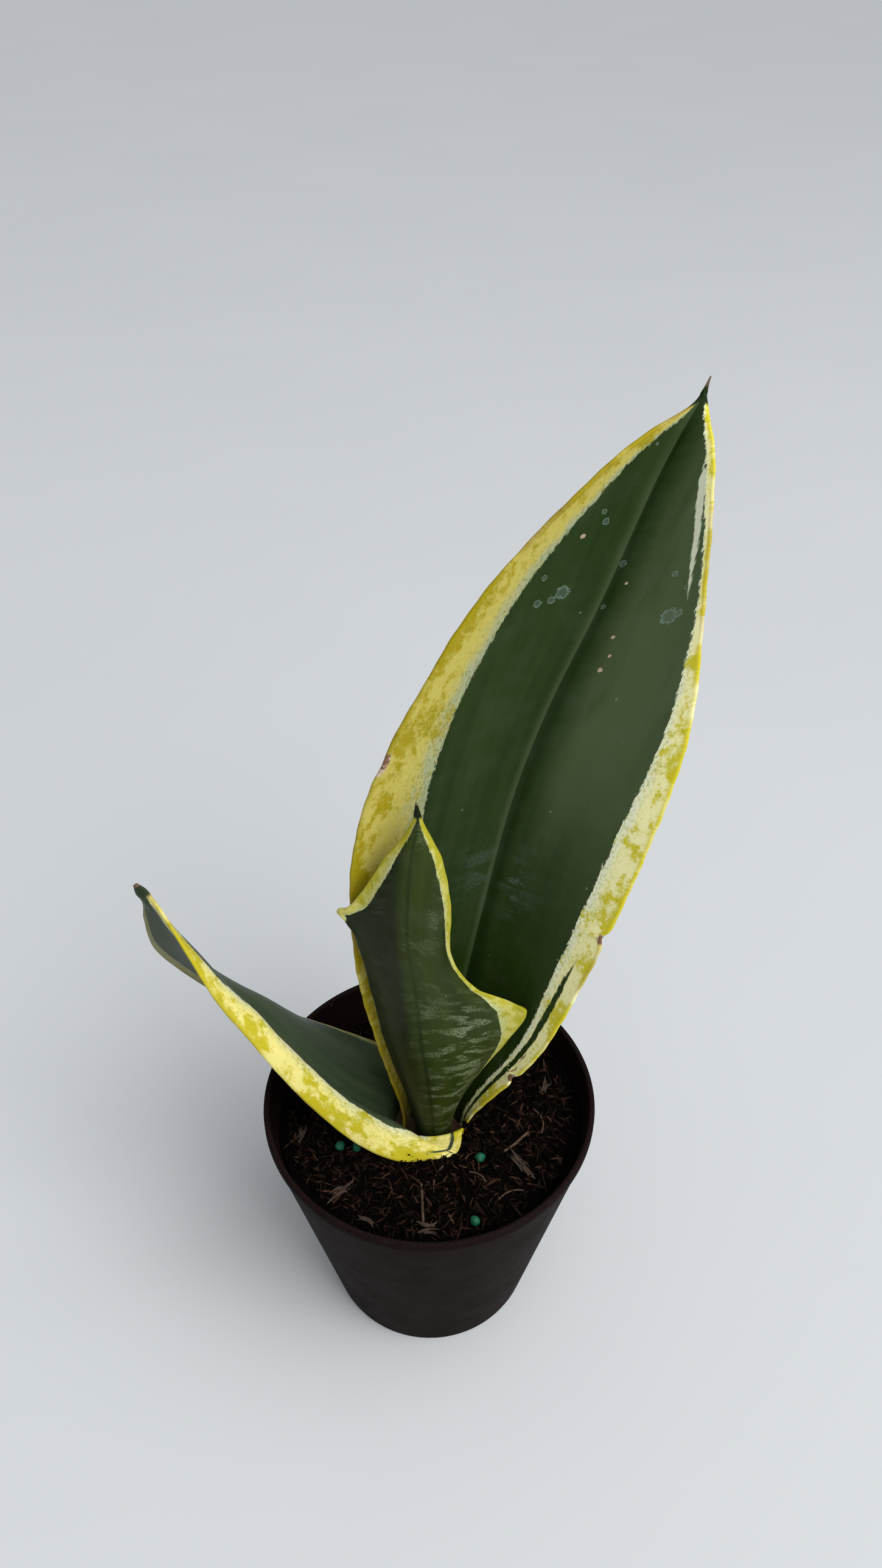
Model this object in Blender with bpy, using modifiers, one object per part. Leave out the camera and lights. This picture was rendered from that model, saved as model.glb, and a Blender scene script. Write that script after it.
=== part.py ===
"""Potted snake plant: a thin nursery pot, its mix, a rootstock and three leaves.

Run with: blender --background --python part.py
Units are metres, +Z is up. The origin is the centre of the pot's flat underside.
The leaf tables are in millimetres from the crown, the point where the pot's axis meets the mix.
"""

import math
import random
from typing import NamedTuple

import bmesh
import bpy
import numpy as np
from mathutils import Vector

# ---------------------------------------------------------------- driving sizes
POT_HEIGHT = 0.086
POT_RIM_RADIUS = 0.050
POT_BASE_RADIUS = 0.033
POT_WALL = 0.0012
POT_FLOOR = 0.0016
LIP_HEIGHT = 0.0030
LIP_PROUD = 0.0006
FOOT_CHAMFER = 0.0008
DRAIN_HOLES = 8
DRAIN_RADIUS = 0.0028
DRAIN_INSET = 0.0085

MIX_DROP = 0.0090
BACK_DIP = 0.0060
MIX_BUMP = 0.0009

PLANT_HEIGHT = 0.2173
LEAF_EDGE = 0.0012
CROWN_RADIUS = 0.0150
CROWN_DEPTH = 0.0150
PIT_HALF_X = 0.0126
PIT_HALF_Y = 0.0125
PIT_CENTRE_X = -0.0008
PIT_RISE = 0.012
ROOTS = 6
ROOT_RADIUS = 0.0012
ROOT_REACH = 0.019
ROOT_DROP = 0.034
ROOT_START = 0.45
ROOT_INNER = 0.006
ROOT_SWING = 0.25
ROOT_TAPER = 0.55
ROOT_RUNS = 8

PELLET_RADIUS = 0.0015
STRAW_RADIUS = 0.0004
FLAKE_THICKNESS = 0.0008

CLEARANCE = 0.0003
LEAF_CLEARANCE = 0.0005

# ---------------------------------------------------------------- mesh fineness
TURN_STEPS = 56
RING_STEPS = 8
LEAF_STEPS = 3
HALF_LEAF_STEPS = 5
SEED = 7

MM = 0.001


class Station(NamedTuple):
    """One cross-section of a leaf, in millimetres from the crown."""

    left: tuple
    midrib: tuple
    right: tuple
    bulge_left: float
    bulge_right: float
    thick: float


# Left and right are seen facing the leaf's inner side, tip up. A bulge bows that half outwards.
TALL_LEAF = [
    Station((-8, -2, -7), (1, 8, -7), (10.5, -3, -7), 3, 3, 4.4),
    Station((-8.5, -2, 6), (3, 9, 7), (14, -5, 7), 3, 3, 4.2),
    Station((-14, -2, 33), (9, 11, 37), (30.5, -8, 36), 2.5, 2.5, 3.8),
    Station((-19, -2, 67), (15, 13, 73), (42.5, -7, 70), 2, 2, 3.4),
    Station((-18.5, 0, 105), (22, 15, 111), (53.5, -4, 108), 1.5, 1.5, 3.0),
    Station((-8, 4, 139), (30, 17, 139), (61, 1, 142), 1, 1, 2.6),
    Station((13, 10, 174.5), (41, 19, 168), (62, 9, 173), 1, 1, 2.2),
    Station((40, 18, 202), (51, 22.5, 196), (62, 18, 200), 0.6, 0.6, 2.0),
    Station((56.5, 24.5, 211.5), (58.3, 25.3, 212), (60.3, 25, 211.5), 0, 0, 2.4),
    Station((58.8, 25.8, 214.5), (59.6, 26.2, 214.5), (60.4, 26.1, 214.5), 0, 0, 1.4),
    Station((60.6, 27, 217.3), (60.8, 27, 217.3), (61, 27, 217.3), 0, 0, 0.4),
]
YOUNG_LEAF = [
    Station((5.5, -1, -7), (1, -8, -7), (-3.5, -1, -7), 2.2, 2.2, 3.4),
    Station((7.5, -2, 7), (1, -9, 8), (-5, -2, 7), 2.2, 2.2, 3.4),
    Station((14.5, -4, 26), (0, -11, 28), (-8.5, -4, 25), 2, 2, 3.2),
    Station((22, -4, 40), (-2, -12.5, 48), (-12, -5, 43), 1, 2, 3.0),
    Station((26, -3, 50.5), (-3, -13, 62), (-14.5, -5.5, 61), 0, 2, 2.8),
    Station((14, -5, 60), (-4, -13, 75), (-17, -6, 78), 1, 1.5, 2.6),
    Station((7, -6, 75), (-5, -12, 88), (-21.5, -5, 91), 2, 0, 2.4),
    Station((5, -6, 95), (-5, -10, 100), (-17.5, -5, 95.5), 1, 1, 2.2),
    Station((2.5, -4.5, 110), (-4, -6.5, 111), (-9.5, -4, 109), 1, 1, 2.0),
    Station((-1.2, -2.4, 119), (-2.2, -2.8, 119.5), (-3.4, -2.4, 119), 0, 0, 2.2),
    Station((-1.8, -1.8, 121.5), (-2.3, -1.9, 121.6), (-2.9, -1.8, 121.5), 0, 0, 1.2),
    Station((-2.4, -1, 124.2), (-2.55, -1, 124.2), (-2.7, -1, 124.2), 0, 0, 0.3),
]
SIDE_LEAF = [
    Station((9.5, -8, -7), (-11, -5, -7), (1, 13, -7), 5, 5.5, 1.8),
    Station((10.5, -9, -2), (-12, -5.5, -3.5), (0.5, 13.5, -2), 4.5, 5, 1.8),
    Station((11, -11.5, 1.5), (-13.5, -6, 0.5), (-1, 14.5, 3), 3, 4.5, 1.8),
    Station((8.5, -15, 2), (-16, -6, 4), (-4, 15, 6.5), 0.5, 4, 2.0),
    Station((1, -17.2, 1), (-20, -6, 8), (-9, 15.5, 9.5), -2, 3, 2.4),
    Station((-9, -17.5, 0.8), (-25, -6, 13), (-15, 16, 12), -3.5, 2, 2.8),
    Station((-20, -16.5, 7), (-31, -5.5, 21), (-23, 16.5, 16), -4, 1, 3.0),
    Station((-31, -14.5, 19), (-38, -4, 30), (-32, 16.5, 21), -4, -1, 2.8),
    Station((-41, -12, 33), (-45, -2, 39), (-41, 16.5, 25.5), -3.5, -3, 2.6),
    Station((-50, -8, 46), (-51, 1, 45), (-50, 16, 30), -3, -4, 2.6),
    Station((-58, -4, 57), (-58, 4, 53), (-60, 16.5, 35), -2, -3, 2.4),
    Station((-65, 2, 68), (-65, 8, 61), (-71, 18, 43.5), -1, -1, 2.2),
    Station((-70, 7, 74.5), (-71.5, 11, 70), (-79, 18, 55), 0, 0, 2.0),
    Station((-73.5, 10.5, 78.5), (-75, 12.8, 76), (-79.5, 16, 69), 0, 0, 2.0),
    Station((-75.3, 11.6, 80), (-76, 12.2, 79.7), (-76.8, 12.6, 79), 0, 0, 2.2),
    Station((-77.4, 12.6, 82.5), (-77.8, 12.8, 82.5), (-78.4, 12.9, 82), 0, 0, 1.2),
    Station((-78.8, 13, 84.8), (-79, 13, 84.8), (-79.2, 13.1, 84.6), 0, 0, 0.4),
]


class Scrap(NamedTuple):
    """A straw, fibre or flake on the mix: its place, length, heading and sideways bend."""

    bearing: float
    share: float
    length: float
    heading: float
    bend: float = 0.0


# Bearings and headings are degrees from +X; a share is of the mix's own radius.
PELLETS = [(207, 0.65), (213, 0.56), (-50, 0.50), (-72, 0.88), (127, 0.71)]
STRAWS = [Scrap(-94, 0.70, 0.013, 92), Scrap(-25, 0.62, 0.010, 40)]
FIBRES = [
    Scrap(-84, 0.53, 0.009, 72, 0.0012),
    Scrap(-60, 0.60, 0.006, -40, 0.0010),
    Scrap(-8, 0.72, 0.009, 100, -0.0016),
    Scrap(-52, 0.82, 0.008, 20, 0.0014),
]
FLAKES = [
    Scrap(227, 0.82, 0.010, 33),
    Scrap(-37, 0.74, 0.011, -55),
    Scrap(-91, 0.88, 0.008, 0),
    Scrap(245, 0.90, 0.006, -29),
    Scrap(12, 0.80, 0.007, 65),
    Scrap(192, 0.86, 0.006, 80),
]

# ---------------------------------------------------------------- derived values
PLANT_SCALE = PLANT_HEIGHT / (TALL_LEAF[-1].midrib[2] * MM)
CROWN_Z = POT_HEIGHT - MIX_DROP
LEAF_FOOT = TALL_LEAF[0].midrib[2] * MM * PLANT_SCALE

COLOURS = {
    "pot": ((0.020, 0.020, 0.022), 0.45),
    "soil": ((0.030, 0.018, 0.011), 0.95),
    "leaf": ((0.045, 0.100, 0.040), 0.40),
    "root": ((0.520, 0.330, 0.160), 0.70),
    "pellet": ((0.010, 0.220, 0.130), 0.50),
    "straw": ((0.300, 0.190, 0.100), 0.85),
    "flake": ((0.120, 0.065, 0.035), 0.90),
}


def clear_scene():
    """Remove every object that the scene opened with."""
    for item in list(bpy.data.objects):
        bpy.data.objects.remove(item, do_unlink=True)


def new_collection(name):
    """Return a new collection linked to the scene."""
    collection = bpy.data.collections.new(name)
    bpy.context.scene.collection.children.link(collection)
    return collection


def finish_material(name):
    """Return the named Principled material, made on first use."""
    found = bpy.data.materials.get(name)
    if found:
        return found
    colour, roughness = COLOURS[name]
    material = bpy.data.materials.new(name)
    material.use_nodes = True
    shader = material.node_tree.nodes["Principled BSDF"]
    shader.inputs["Base Color"].default_value = (*colour, 1.0)
    shader.inputs["Roughness"].default_value = roughness
    shader.inputs["Metallic"].default_value = 0.0
    return material


def add_object(name, mesh, collection, material):
    """Link a mesh as a named part with its material, shaded smooth."""
    mesh.shade_smooth()
    mesh.set_sharp_from_angle(angle=math.radians(40))
    mesh.materials.append(finish_material(material))
    part = bpy.data.objects.new(name, mesh)
    collection.objects.link(part)
    return part


def add_cutter(name, mesh, collection):
    """Link a mesh as a cutter, which is not a part."""
    cutter = bpy.data.objects.new(name, mesh)
    cutter.hide_render = True
    cutter.display_type = "WIRE"
    collection.objects.link(cutter)
    return cutter


def cut(part, cutter):
    """Cut one solid out of another with an exact Boolean."""
    modifier = part.modifiers.new(f"less_{cutter.name}", "BOOLEAN")
    modifier.operation = "DIFFERENCE"
    modifier.solver = "EXACT"
    modifier.object = cutter


def turned_mesh(name, profile, steps=TURN_STEPS):
    """Turn an (r, z) profile round Z with a Screw modifier and return the plain mesh.

    The profile runs down the outer side, top to bottom.
    """
    mesh = bpy.data.meshes.new(name)
    points = [(radius, 0.0, height) for radius, height in profile]
    mesh.from_pydata(points, [(i, i + 1) for i in range(len(points) - 1)], [])
    blank = bpy.data.objects.new(name, mesh)
    bpy.context.scene.collection.objects.link(blank)
    screw = blank.modifiers.new("turn", "SCREW")
    screw.steps = steps
    screw.render_steps = steps
    screw.use_merge_vertices = True
    screw.merge_threshold = 0.00001
    turned = evaluated_mesh(blank, name)
    bpy.data.objects.remove(blank, do_unlink=True)
    return turned


def evaluated_mesh(item, name):
    """Return an object's evaluated shape as a welded mesh."""
    graph = bpy.context.evaluated_depsgraph_get()
    mesh = bpy.data.meshes.new_from_object(item.evaluated_get(graph))
    mesh.name = name
    shape = bmesh.new()
    shape.from_mesh(mesh)
    bmesh.ops.remove_doubles(shape, verts=shape.verts, dist=0.000001)
    shape.to_mesh(mesh)
    shape.free()
    return mesh


# ---------------------------------------------------------------- pot
def inner_radius(height):
    """Return the radius of the pot's inside at a height above its underside."""
    foot = POT_BASE_RADIUS - POT_WALL
    rim = POT_RIM_RADIUS - LIP_PROUD - POT_WALL
    return foot + (rim - foot) * height / POT_HEIGHT


def pot_profile():
    """Return the pot's section: up the inside, over the lip and down the outside."""
    lip_middle = POT_RIM_RADIUS - (LIP_PROUD + POT_WALL) / 2
    lip_half = (LIP_PROUD + POT_WALL) / 2
    profile = [(0.0, POT_FLOOR), (inner_radius(POT_FLOOR), POT_FLOOR)]
    for turn in (180, 135, 90, 45, 0):
        angle = math.radians(turn)
        profile.append((
            lip_middle + lip_half * math.cos(angle),
            POT_HEIGHT - lip_half + lip_half * math.sin(angle),
        ))
    under_lip = POT_HEIGHT - LIP_HEIGHT
    profile += [
        (POT_RIM_RADIUS, under_lip),
        (POT_RIM_RADIUS - LIP_PROUD, under_lip - LIP_PROUD),
        (POT_BASE_RADIUS, FOOT_CHAMFER),
        (POT_BASE_RADIUS - FOOT_CHAMFER, 0.0),
        (0.0, 0.0),
    ]
    return profile


def drain_mesh():
    """Return the drain holes' cutter: a ring of short cylinders through the floor."""
    shape = bmesh.new()
    ring = POT_BASE_RADIUS - DRAIN_INSET
    for index in range(DRAIN_HOLES):
        made = bmesh.ops.create_cone(
            shape, cap_ends=True, segments=14,
            radius1=DRAIN_RADIUS, radius2=DRAIN_RADIUS, depth=4 * POT_FLOOR,
        )
        angle = 2 * math.pi * (index + 0.5) / DRAIN_HOLES
        offset = (ring * math.cos(angle), ring * math.sin(angle), POT_FLOOR / 2)
        bmesh.ops.translate(shape, verts=made["verts"], vec=offset)
    mesh = bpy.data.meshes.new("drains")
    shape.to_mesh(mesh)
    shape.free()
    return mesh


def build_pot(parts, cutters):
    """Build the pot with its drain holes."""
    pot = add_object("pot", turned_mesh("pot", pot_profile()), parts, "pot")
    cut(pot, add_cutter("drain_cutter", drain_mesh(), cutters))


# ---------------------------------------------------------------- leaves
def smooth_rows(rows, steps):
    """Run a Catmull-Rom curve through rows of numbers, with some steps in each span."""
    points = np.asarray(rows, dtype=float)
    padded = np.vstack([2 * points[0] - points[1], points, 2 * points[-1] - points[-2]])
    samples = []
    for span in range(len(points) - 1):
        before, start, end, after = padded[span:span + 4]
        for step in range(steps):
            t = step / steps
            samples.append(0.5 * (
                2 * start
                + (end - before) * t
                + (2 * before - 5 * start + 4 * end - after) * t ** 2
                + (3 * start - before - 3 * end + after) * t ** 3
            ))
    samples.append(points[-1])
    return np.array(samples)


def unit(vectors):
    """Return vectors at length one along the last axis."""
    return vectors / np.maximum(np.linalg.norm(vectors, axis=-1, keepdims=True), 1e-12)


def leaf_grid(stations):
    """Return the leaf's middle surface as a grid, with its inner normals and thicknesses."""
    rows = smooth_rows([
        (*s.left, *s.midrib, *s.right, s.bulge_left, s.bulge_right, s.thick) for s in stations
    ], LEAF_STEPS)
    rows *= MM * PLANT_SCALE
    left, midrib, right = rows[:, 0:3], rows[:, 3:6], rows[:, 6:9]
    growth = unit(np.gradient(midrib, axis=0))
    columns = []
    for column in range(-HALF_LEAF_STEPS, HALF_LEAF_STEPS + 1):
        side = -1 if column < 0 else 1
        edge = left if side < 0 else right
        bulge = rows[:, 9] if side < 0 else rows[:, 10]
        share = abs(column) / HALF_LEAF_STEPS
        inward = unit(np.cross(side * (edge - midrib), growth))
        bow = (4 * share * (1 - share)) * bulge
        columns.append(midrib + (edge - midrib) * share - inward * bow[:, None])
    grid = np.stack(columns, axis=1)
    shares = np.abs(np.linspace(-1, 1, grid.shape[1]))
    thick = rows[:, 11][:, None]
    normals = unit(np.cross(np.gradient(grid, axis=1), np.gradient(grid, axis=0)))
    straight = unit(np.cross(right - left, growth))[:, None]
    flatness = np.linalg.norm(right - left, axis=1)[:, None] / thick
    follow = np.clip(flatness / 4 - 0.5, 0, 1)[..., None]
    normals = unit(normals * follow + straight * (1 - follow))
    edge_thick = np.minimum(LEAF_EDGE, 0.5 * thick)
    thickness = edge_thick + (thick - edge_thick) * (1 - shares[None, :] ** 1.5)
    return grid, normals, thickness


def leaf_mesh(name, stations, grow=0.0):
    """Return a closed leaf standing in the pot, made fatter all round by grow."""
    grid, normals, thickness = leaf_grid(stations)
    half = thickness[..., None] / 2 + grow
    inner = grid + normals * half
    outer = grid - normals * half
    out_left = unit(grid[:, 0] - grid[:, 1]) * half[:, 0]
    out_right = unit(grid[:, -1] - grid[:, -2]) * half[:, -1]
    rings = np.concatenate([
        (grid[:, 0] + out_left)[:, None], inner,
        (grid[:, -1] + out_right)[:, None], outer[:, ::-1],
    ], axis=1)
    rings[0, :, 2] = LEAF_FOOT - grow
    rings[..., 2] += CROWN_Z
    count, size = rings.shape[:2]
    faces = []
    for ring in range(count - 1):
        for point in range(size):
            low, next_low = ring * size + point, ring * size + (point + 1) % size
            faces.append((low, next_low, next_low + size, low + size))
    across = grid.shape[1]
    for base, flip in ((0, True), ((count - 1) * size, False)):
        faces += end_cap(base, across, size, flip)
    mesh = bpy.data.meshes.new(name)
    mesh.from_pydata([tuple(p) for p in rings.reshape(-1, 3)], [], faces)
    shape = bmesh.new()
    shape.from_mesh(mesh)
    bmesh.ops.recalc_face_normals(shape, faces=shape.faces)
    shape.to_mesh(mesh)
    shape.free()
    return mesh


def end_cap(base, across, size, flip):
    """Return the strip of faces that closes one end ring between its two sides."""
    strip = [(base, base + 1, base + size - 1)]
    for step in range(1, across):
        strip.append((base + step, base + step + 1, base + size - step - 1, base + size - step))
    strip.append((base + across, base + across + 1, base + across + 2))
    return [tuple(reversed(face)) for face in strip] if flip else strip


LEAVES = {"leaf_tall": TALL_LEAF, "leaf_young": YOUNG_LEAF, "leaf_side": SIDE_LEAF}


def build_leaves(parts):
    """Build the three leaves."""
    for name, stations in LEAVES.items():
        add_object(name, leaf_mesh(name, stations), parts, "leaf")


# ---------------------------------------------------------------- rootstock
def crown_profile(grow):
    """Return the rootstock's turned section: a flat top that carries the leaves, round below."""
    top = CROWN_Z + LEAF_FOOT - CLEARANCE + grow
    radius = CROWN_RADIUS * PLANT_SCALE + grow
    depth = CROWN_DEPTH * PLANT_SCALE + 2 * grow
    profile = [(0.0, top), (radius, top)]
    for turn in range(15, 91, 15):
        angle = math.radians(turn)
        profile.append((radius * math.cos(angle), top - depth * math.sin(angle)))
    profile[-1] = (0.0, top - depth)
    return profile


def root_points(index, grow):
    """Return one root's path as x, y, z and radius, out of the rootstock's side and down.

    A grown root is thicker all along and its tip runs on straight by twice as much.
    """
    bearing = 2 * math.pi * (index + 0.25) / ROOTS
    start_z = CROWN_Z + LEAF_FOOT - ROOT_START * CROWN_DEPTH * PLANT_SCALE
    points = []
    for step in range(ROOT_RUNS + 1):
        t = step / ROOT_RUNS
        spread = ROOT_INNER + (ROOT_REACH - ROOT_INNER) * math.sin(t * math.pi / 2)
        swing = bearing + ROOT_SWING * math.sin(5 * t + index)
        across = spread * PLANT_SCALE
        height = start_z - ROOT_DROP * PLANT_SCALE * t ** 1.5
        thick = ROOT_RADIUS * PLANT_SCALE * (1 - ROOT_TAPER * t) + grow
        points.append((across * math.cos(swing), across * math.sin(swing), height, thick))
    before = Vector(points[-2][:3])
    tip = Vector(points[-1][:3])
    tip += (tip - before).normalized() * 2 * grow
    points[-1] = (*tip, points[-1][3])
    return points


def roots_mesh(grow):
    """Return all roots as separate closed tubes in one mesh."""
    curve = bpy.data.curves.new("roots", "CURVE")
    curve.dimensions = "3D"
    curve.bevel_depth = 1.0
    curve.bevel_resolution = 1
    curve.use_fill_caps = True
    for index in range(ROOTS):
        path = root_points(index, grow)
        spline = curve.splines.new("POLY")
        spline.points.add(len(path) - 1)
        for point, (x, y, z, thick) in zip(spline.points, path):
            point.co = (x, y, z, 1.0)
            point.radius = thick
    item = bpy.data.objects.new("roots", curve)
    bpy.context.scene.collection.objects.link(item)
    mesh = evaluated_mesh(item, "roots")
    bpy.data.objects.remove(item, do_unlink=True)
    return mesh


def rhizome_mesh(name, grow, cutters):
    """Return the rootstock with its roots joined on."""
    roots = add_cutter(f"{name}_roots", roots_mesh(grow), cutters)
    body = bpy.data.objects.new(name, turned_mesh(name, crown_profile(grow), 32))
    bpy.context.scene.collection.objects.link(body)
    join = body.modifiers.new("roots", "BOOLEAN")
    join.operation = "UNION"
    join.solver = "EXACT"
    join.object = roots
    mesh = evaluated_mesh(body, name)
    bpy.data.objects.remove(body, do_unlink=True)
    bpy.data.objects.remove(roots, do_unlink=True)
    return mesh


# ---------------------------------------------------------------- mix
def mix_height(x, y):
    """Return the mix's top at a point: level at the front, lower at the back left, bumpy."""
    reach = inner_radius(CROWN_Z)
    back = max(0.0, (0.87 * y - 0.5 * x) / reach)
    bumps = (
        math.sin(290 * x + 1.3) * math.cos(330 * y)
        + 0.7 * math.sin(210 * x - 410 * y + 0.6)
        + 0.5 * math.cos(520 * x + 240 * y)
    )
    front_rise = 0.0012 * max(0.0, -y / reach)
    return CROWN_Z - BACK_DIP * back ** 1.4 + front_rise + MIX_BUMP * bumps / 2


def mix_radius(height):
    """Return the mix's radius at a height, clear of the pot's wall."""
    return inner_radius(height) - CLEARANCE


def soil_mesh():
    """Return the mix before it is cut round the plant: turned, then its top made uneven."""
    low = POT_FLOOR + CLEARANCE
    rim = mix_radius(CROWN_Z)
    top = [(rim * ring / RING_STEPS, CROWN_Z) for ring in range(RING_STEPS + 1)]
    mesh = turned_mesh("soil", [*top, (mix_radius(low), low), (0.0, low)])
    for vertex in mesh.vertices:
        if vertex.co.z < CROWN_Z - CLEARANCE:
            continue
        vertex.co.z = mix_height(vertex.co.x, vertex.co.y)
        reach = math.hypot(vertex.co.x, vertex.co.y)
        limit = mix_radius(vertex.co.z)
        if reach > limit:
            vertex.co.x *= limit / reach
            vertex.co.y *= limit / reach
    return mesh


def pit_mesh():
    """Return the hollow inside the clasping leaf's foot, where no mix lies."""
    shape = bmesh.new()
    bmesh.ops.create_cone(
        shape, cap_ends=True, segments=28, radius1=1.0, radius2=1.0, depth=1.0,
    )
    low = CROWN_Z + LEAF_FOOT - 2 * CLEARANCE
    high = CROWN_Z + PIT_RISE * PLANT_SCALE
    size = (PIT_HALF_X * PLANT_SCALE, PIT_HALF_Y * PLANT_SCALE, high - low)
    bmesh.ops.scale(shape, verts=shape.verts, vec=size)
    middle = (PIT_CENTRE_X * PLANT_SCALE, 0.0, (low + high) / 2)
    bmesh.ops.translate(shape, verts=shape.verts, vec=middle)
    mesh = bpy.data.meshes.new("pit")
    shape.to_mesh(mesh)
    shape.free()
    return mesh


def build_soil(parts, cutters):
    """Build the mix, cut to lie close round the rootstock and the feet of the leaves."""
    soil = add_object("soil", soil_mesh(), parts, "soil")
    shapes = {
        "rhizome_cutter": rhizome_mesh("rhizome_cutter", CLEARANCE, cutters),
        "pit_cutter": pit_mesh(),
    }
    for name, stations in LEAVES.items():
        shapes[f"{name}_cutter"] = leaf_mesh(f"{name}_cutter", stations, LEAF_CLEARANCE)
    for name, mesh in shapes.items():
        cut(soil, add_cutter(name, mesh, cutters))


# ---------------------------------------------------------------- scraps on the mix
def place_on_mix(bearing, share):
    """Return the x and y of a place on the mix."""
    reach = share * mix_radius(CROWN_Z)
    angle = math.radians(bearing)
    return reach * math.cos(angle), reach * math.sin(angle)


def build_pellets(parts):
    """Build the feed pellets, each resting on the mix."""
    for index, (bearing, share) in enumerate(PELLETS, start=1):
        x, y = place_on_mix(bearing, share)
        shape = bmesh.new()
        bmesh.ops.create_uvsphere(shape, u_segments=12, v_segments=8, radius=PELLET_RADIUS)
        height = mix_height(x, y) + PELLET_RADIUS + 2 * CLEARANCE
        bmesh.ops.translate(shape, verts=shape.verts, vec=(x, y, height))
        mesh = bpy.data.meshes.new(f"pellet_{index}")
        shape.to_mesh(mesh)
        shape.free()
        add_object(f"pellet_{index}", mesh, parts, "pellet")


def scrap_path(scrap, lift):
    """Return points along a scrap that lies on the mix, bent sideways."""
    x, y = place_on_mix(scrap.bearing, scrap.share)
    along = math.radians(scrap.heading)
    points = []
    for step in range(7):
        t = step / 3 - 1
        run = t * scrap.length / 2
        sag = scrap.bend * (1 - t * t)
        px = x + run * math.cos(along) - sag * math.sin(along)
        py = y + run * math.sin(along) + sag * math.cos(along)
        points.append((px, py, mix_height(px, py) + lift))
    return points


def build_straws(parts):
    """Build the straws and fibres as thin tubes that follow the mix."""
    groups = (("straw", STRAWS, STRAW_RADIUS), ("fibre", FIBRES, 0.6 * STRAW_RADIUS))
    for kind, scraps, radius in groups:
        for index, scrap in enumerate(scraps, start=1):
            name = f"{kind}_{index}"
            curve = bpy.data.curves.new(name, "CURVE")
            curve.dimensions = "3D"
            curve.bevel_depth = radius
            curve.bevel_resolution = 1
            curve.use_fill_caps = True
            path = scrap_path(scrap, radius + 2 * CLEARANCE)
            spline = curve.splines.new("POLY")
            spline.points.add(len(path) - 1)
            for point, place in zip(spline.points, path):
                point.co = (*place, 1.0)
            item = bpy.data.objects.new(name, curve)
            bpy.context.scene.collection.objects.link(item)
            mesh = evaluated_mesh(item, name)
            bpy.data.objects.remove(item, do_unlink=True)
            add_object(name, mesh, parts, "straw")


def build_flakes(parts):
    """Build the bark flakes: thin uneven lozenges that lie flat on the mix."""
    chance = random.Random(SEED)
    for index, scrap in enumerate(FLAKES, start=1):
        path = scrap_path(scrap, 2 * CLEARANCE)
        along = math.radians(scrap.heading)
        middle = len(path) // 2
        shape = bmesh.new()
        rings = []
        for step, (x, y, z) in enumerate(path):
            t = (step - middle) / middle
            half = scrap.length * 0.17 * (1 - 0.75 * t * t) * chance.uniform(0.8, 1.2)
            side_x, side_y = -math.sin(along) * half, math.cos(along) * half
            lift = max(mix_height(x + side_x, y + side_y), mix_height(x - side_x, y - side_y))
            z = max(z, lift + 2 * CLEARANCE)
            corners = ((1, 0), (-1, 0), (-0.8, FLAKE_THICKNESS), (0.8, FLAKE_THICKNESS))
            rings.append([
                shape.verts.new((x + side * side_x, y + side * side_y, z + rise))
                for side, rise in corners
            ])
        for low, high in zip(rings, rings[1:]):
            for corner in range(4):
                after = (corner + 1) % 4
                shape.faces.new((low[corner], low[after], high[after], high[corner]))
        shape.faces.new(reversed(rings[0]))
        shape.faces.new(rings[-1])
        bmesh.ops.recalc_face_normals(shape, faces=shape.faces)
        mesh = bpy.data.meshes.new(f"flake_{index}")
        shape.to_mesh(mesh)
        shape.free()
        add_object(f"flake_{index}", mesh, parts, "flake")


def main():
    """Build every part of the potted plant."""
    clear_scene()
    parts = new_collection("potted_snake_plant")
    cutters = new_collection("cutters")
    build_pot(parts, cutters)
    build_leaves(parts)
    add_object("rhizome", rhizome_mesh("rhizome", 0.0, cutters), parts, "root")
    build_soil(parts, cutters)
    build_pellets(parts)
    build_straws(parts)
    build_flakes(parts)


main()
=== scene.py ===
"""Potted snake plant, dressed: pot, rootstock, three leaves, and the mix with what lies on it.

All sizes are metres unless a name ends in _mm. The origin is the centre of the pot's underside.
"""
import logging
import math
from dataclasses import dataclass, fields
from enum import Enum
from typing import Iterable, Sequence, Union

import bmesh
import bpy
import numpy as np
from mathutils import Matrix, Vector


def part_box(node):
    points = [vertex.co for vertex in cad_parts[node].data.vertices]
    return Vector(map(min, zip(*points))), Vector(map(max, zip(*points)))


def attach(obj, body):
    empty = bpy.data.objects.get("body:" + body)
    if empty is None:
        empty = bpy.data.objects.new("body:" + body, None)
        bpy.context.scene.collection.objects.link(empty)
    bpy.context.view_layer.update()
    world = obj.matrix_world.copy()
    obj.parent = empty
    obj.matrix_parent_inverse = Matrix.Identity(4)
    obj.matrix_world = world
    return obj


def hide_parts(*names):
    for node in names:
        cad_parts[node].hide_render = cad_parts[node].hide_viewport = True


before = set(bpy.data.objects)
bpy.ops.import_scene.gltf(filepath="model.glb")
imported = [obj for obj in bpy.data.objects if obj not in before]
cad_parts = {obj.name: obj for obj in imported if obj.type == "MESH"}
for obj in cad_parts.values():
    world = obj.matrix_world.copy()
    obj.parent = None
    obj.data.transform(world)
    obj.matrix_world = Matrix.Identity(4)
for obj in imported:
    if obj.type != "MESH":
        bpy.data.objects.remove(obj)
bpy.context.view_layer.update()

LOG = logging.getLogger("snake_plant")
MM = 0.001
MERGE = 0.000001

Point = tuple[float, float, float]
Colour = tuple[float, float, float]
Tree = bpy.types.NodeTree
Mesh = bpy.types.Mesh
Item = bpy.types.Object
Material = bpy.types.Material
Shape = bmesh.types.BMesh
Socket = bpy.types.NodeSocket
Sockets = bpy.types.bpy_prop_collection
Feed = Union[Socket, float, tuple, None]

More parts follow.
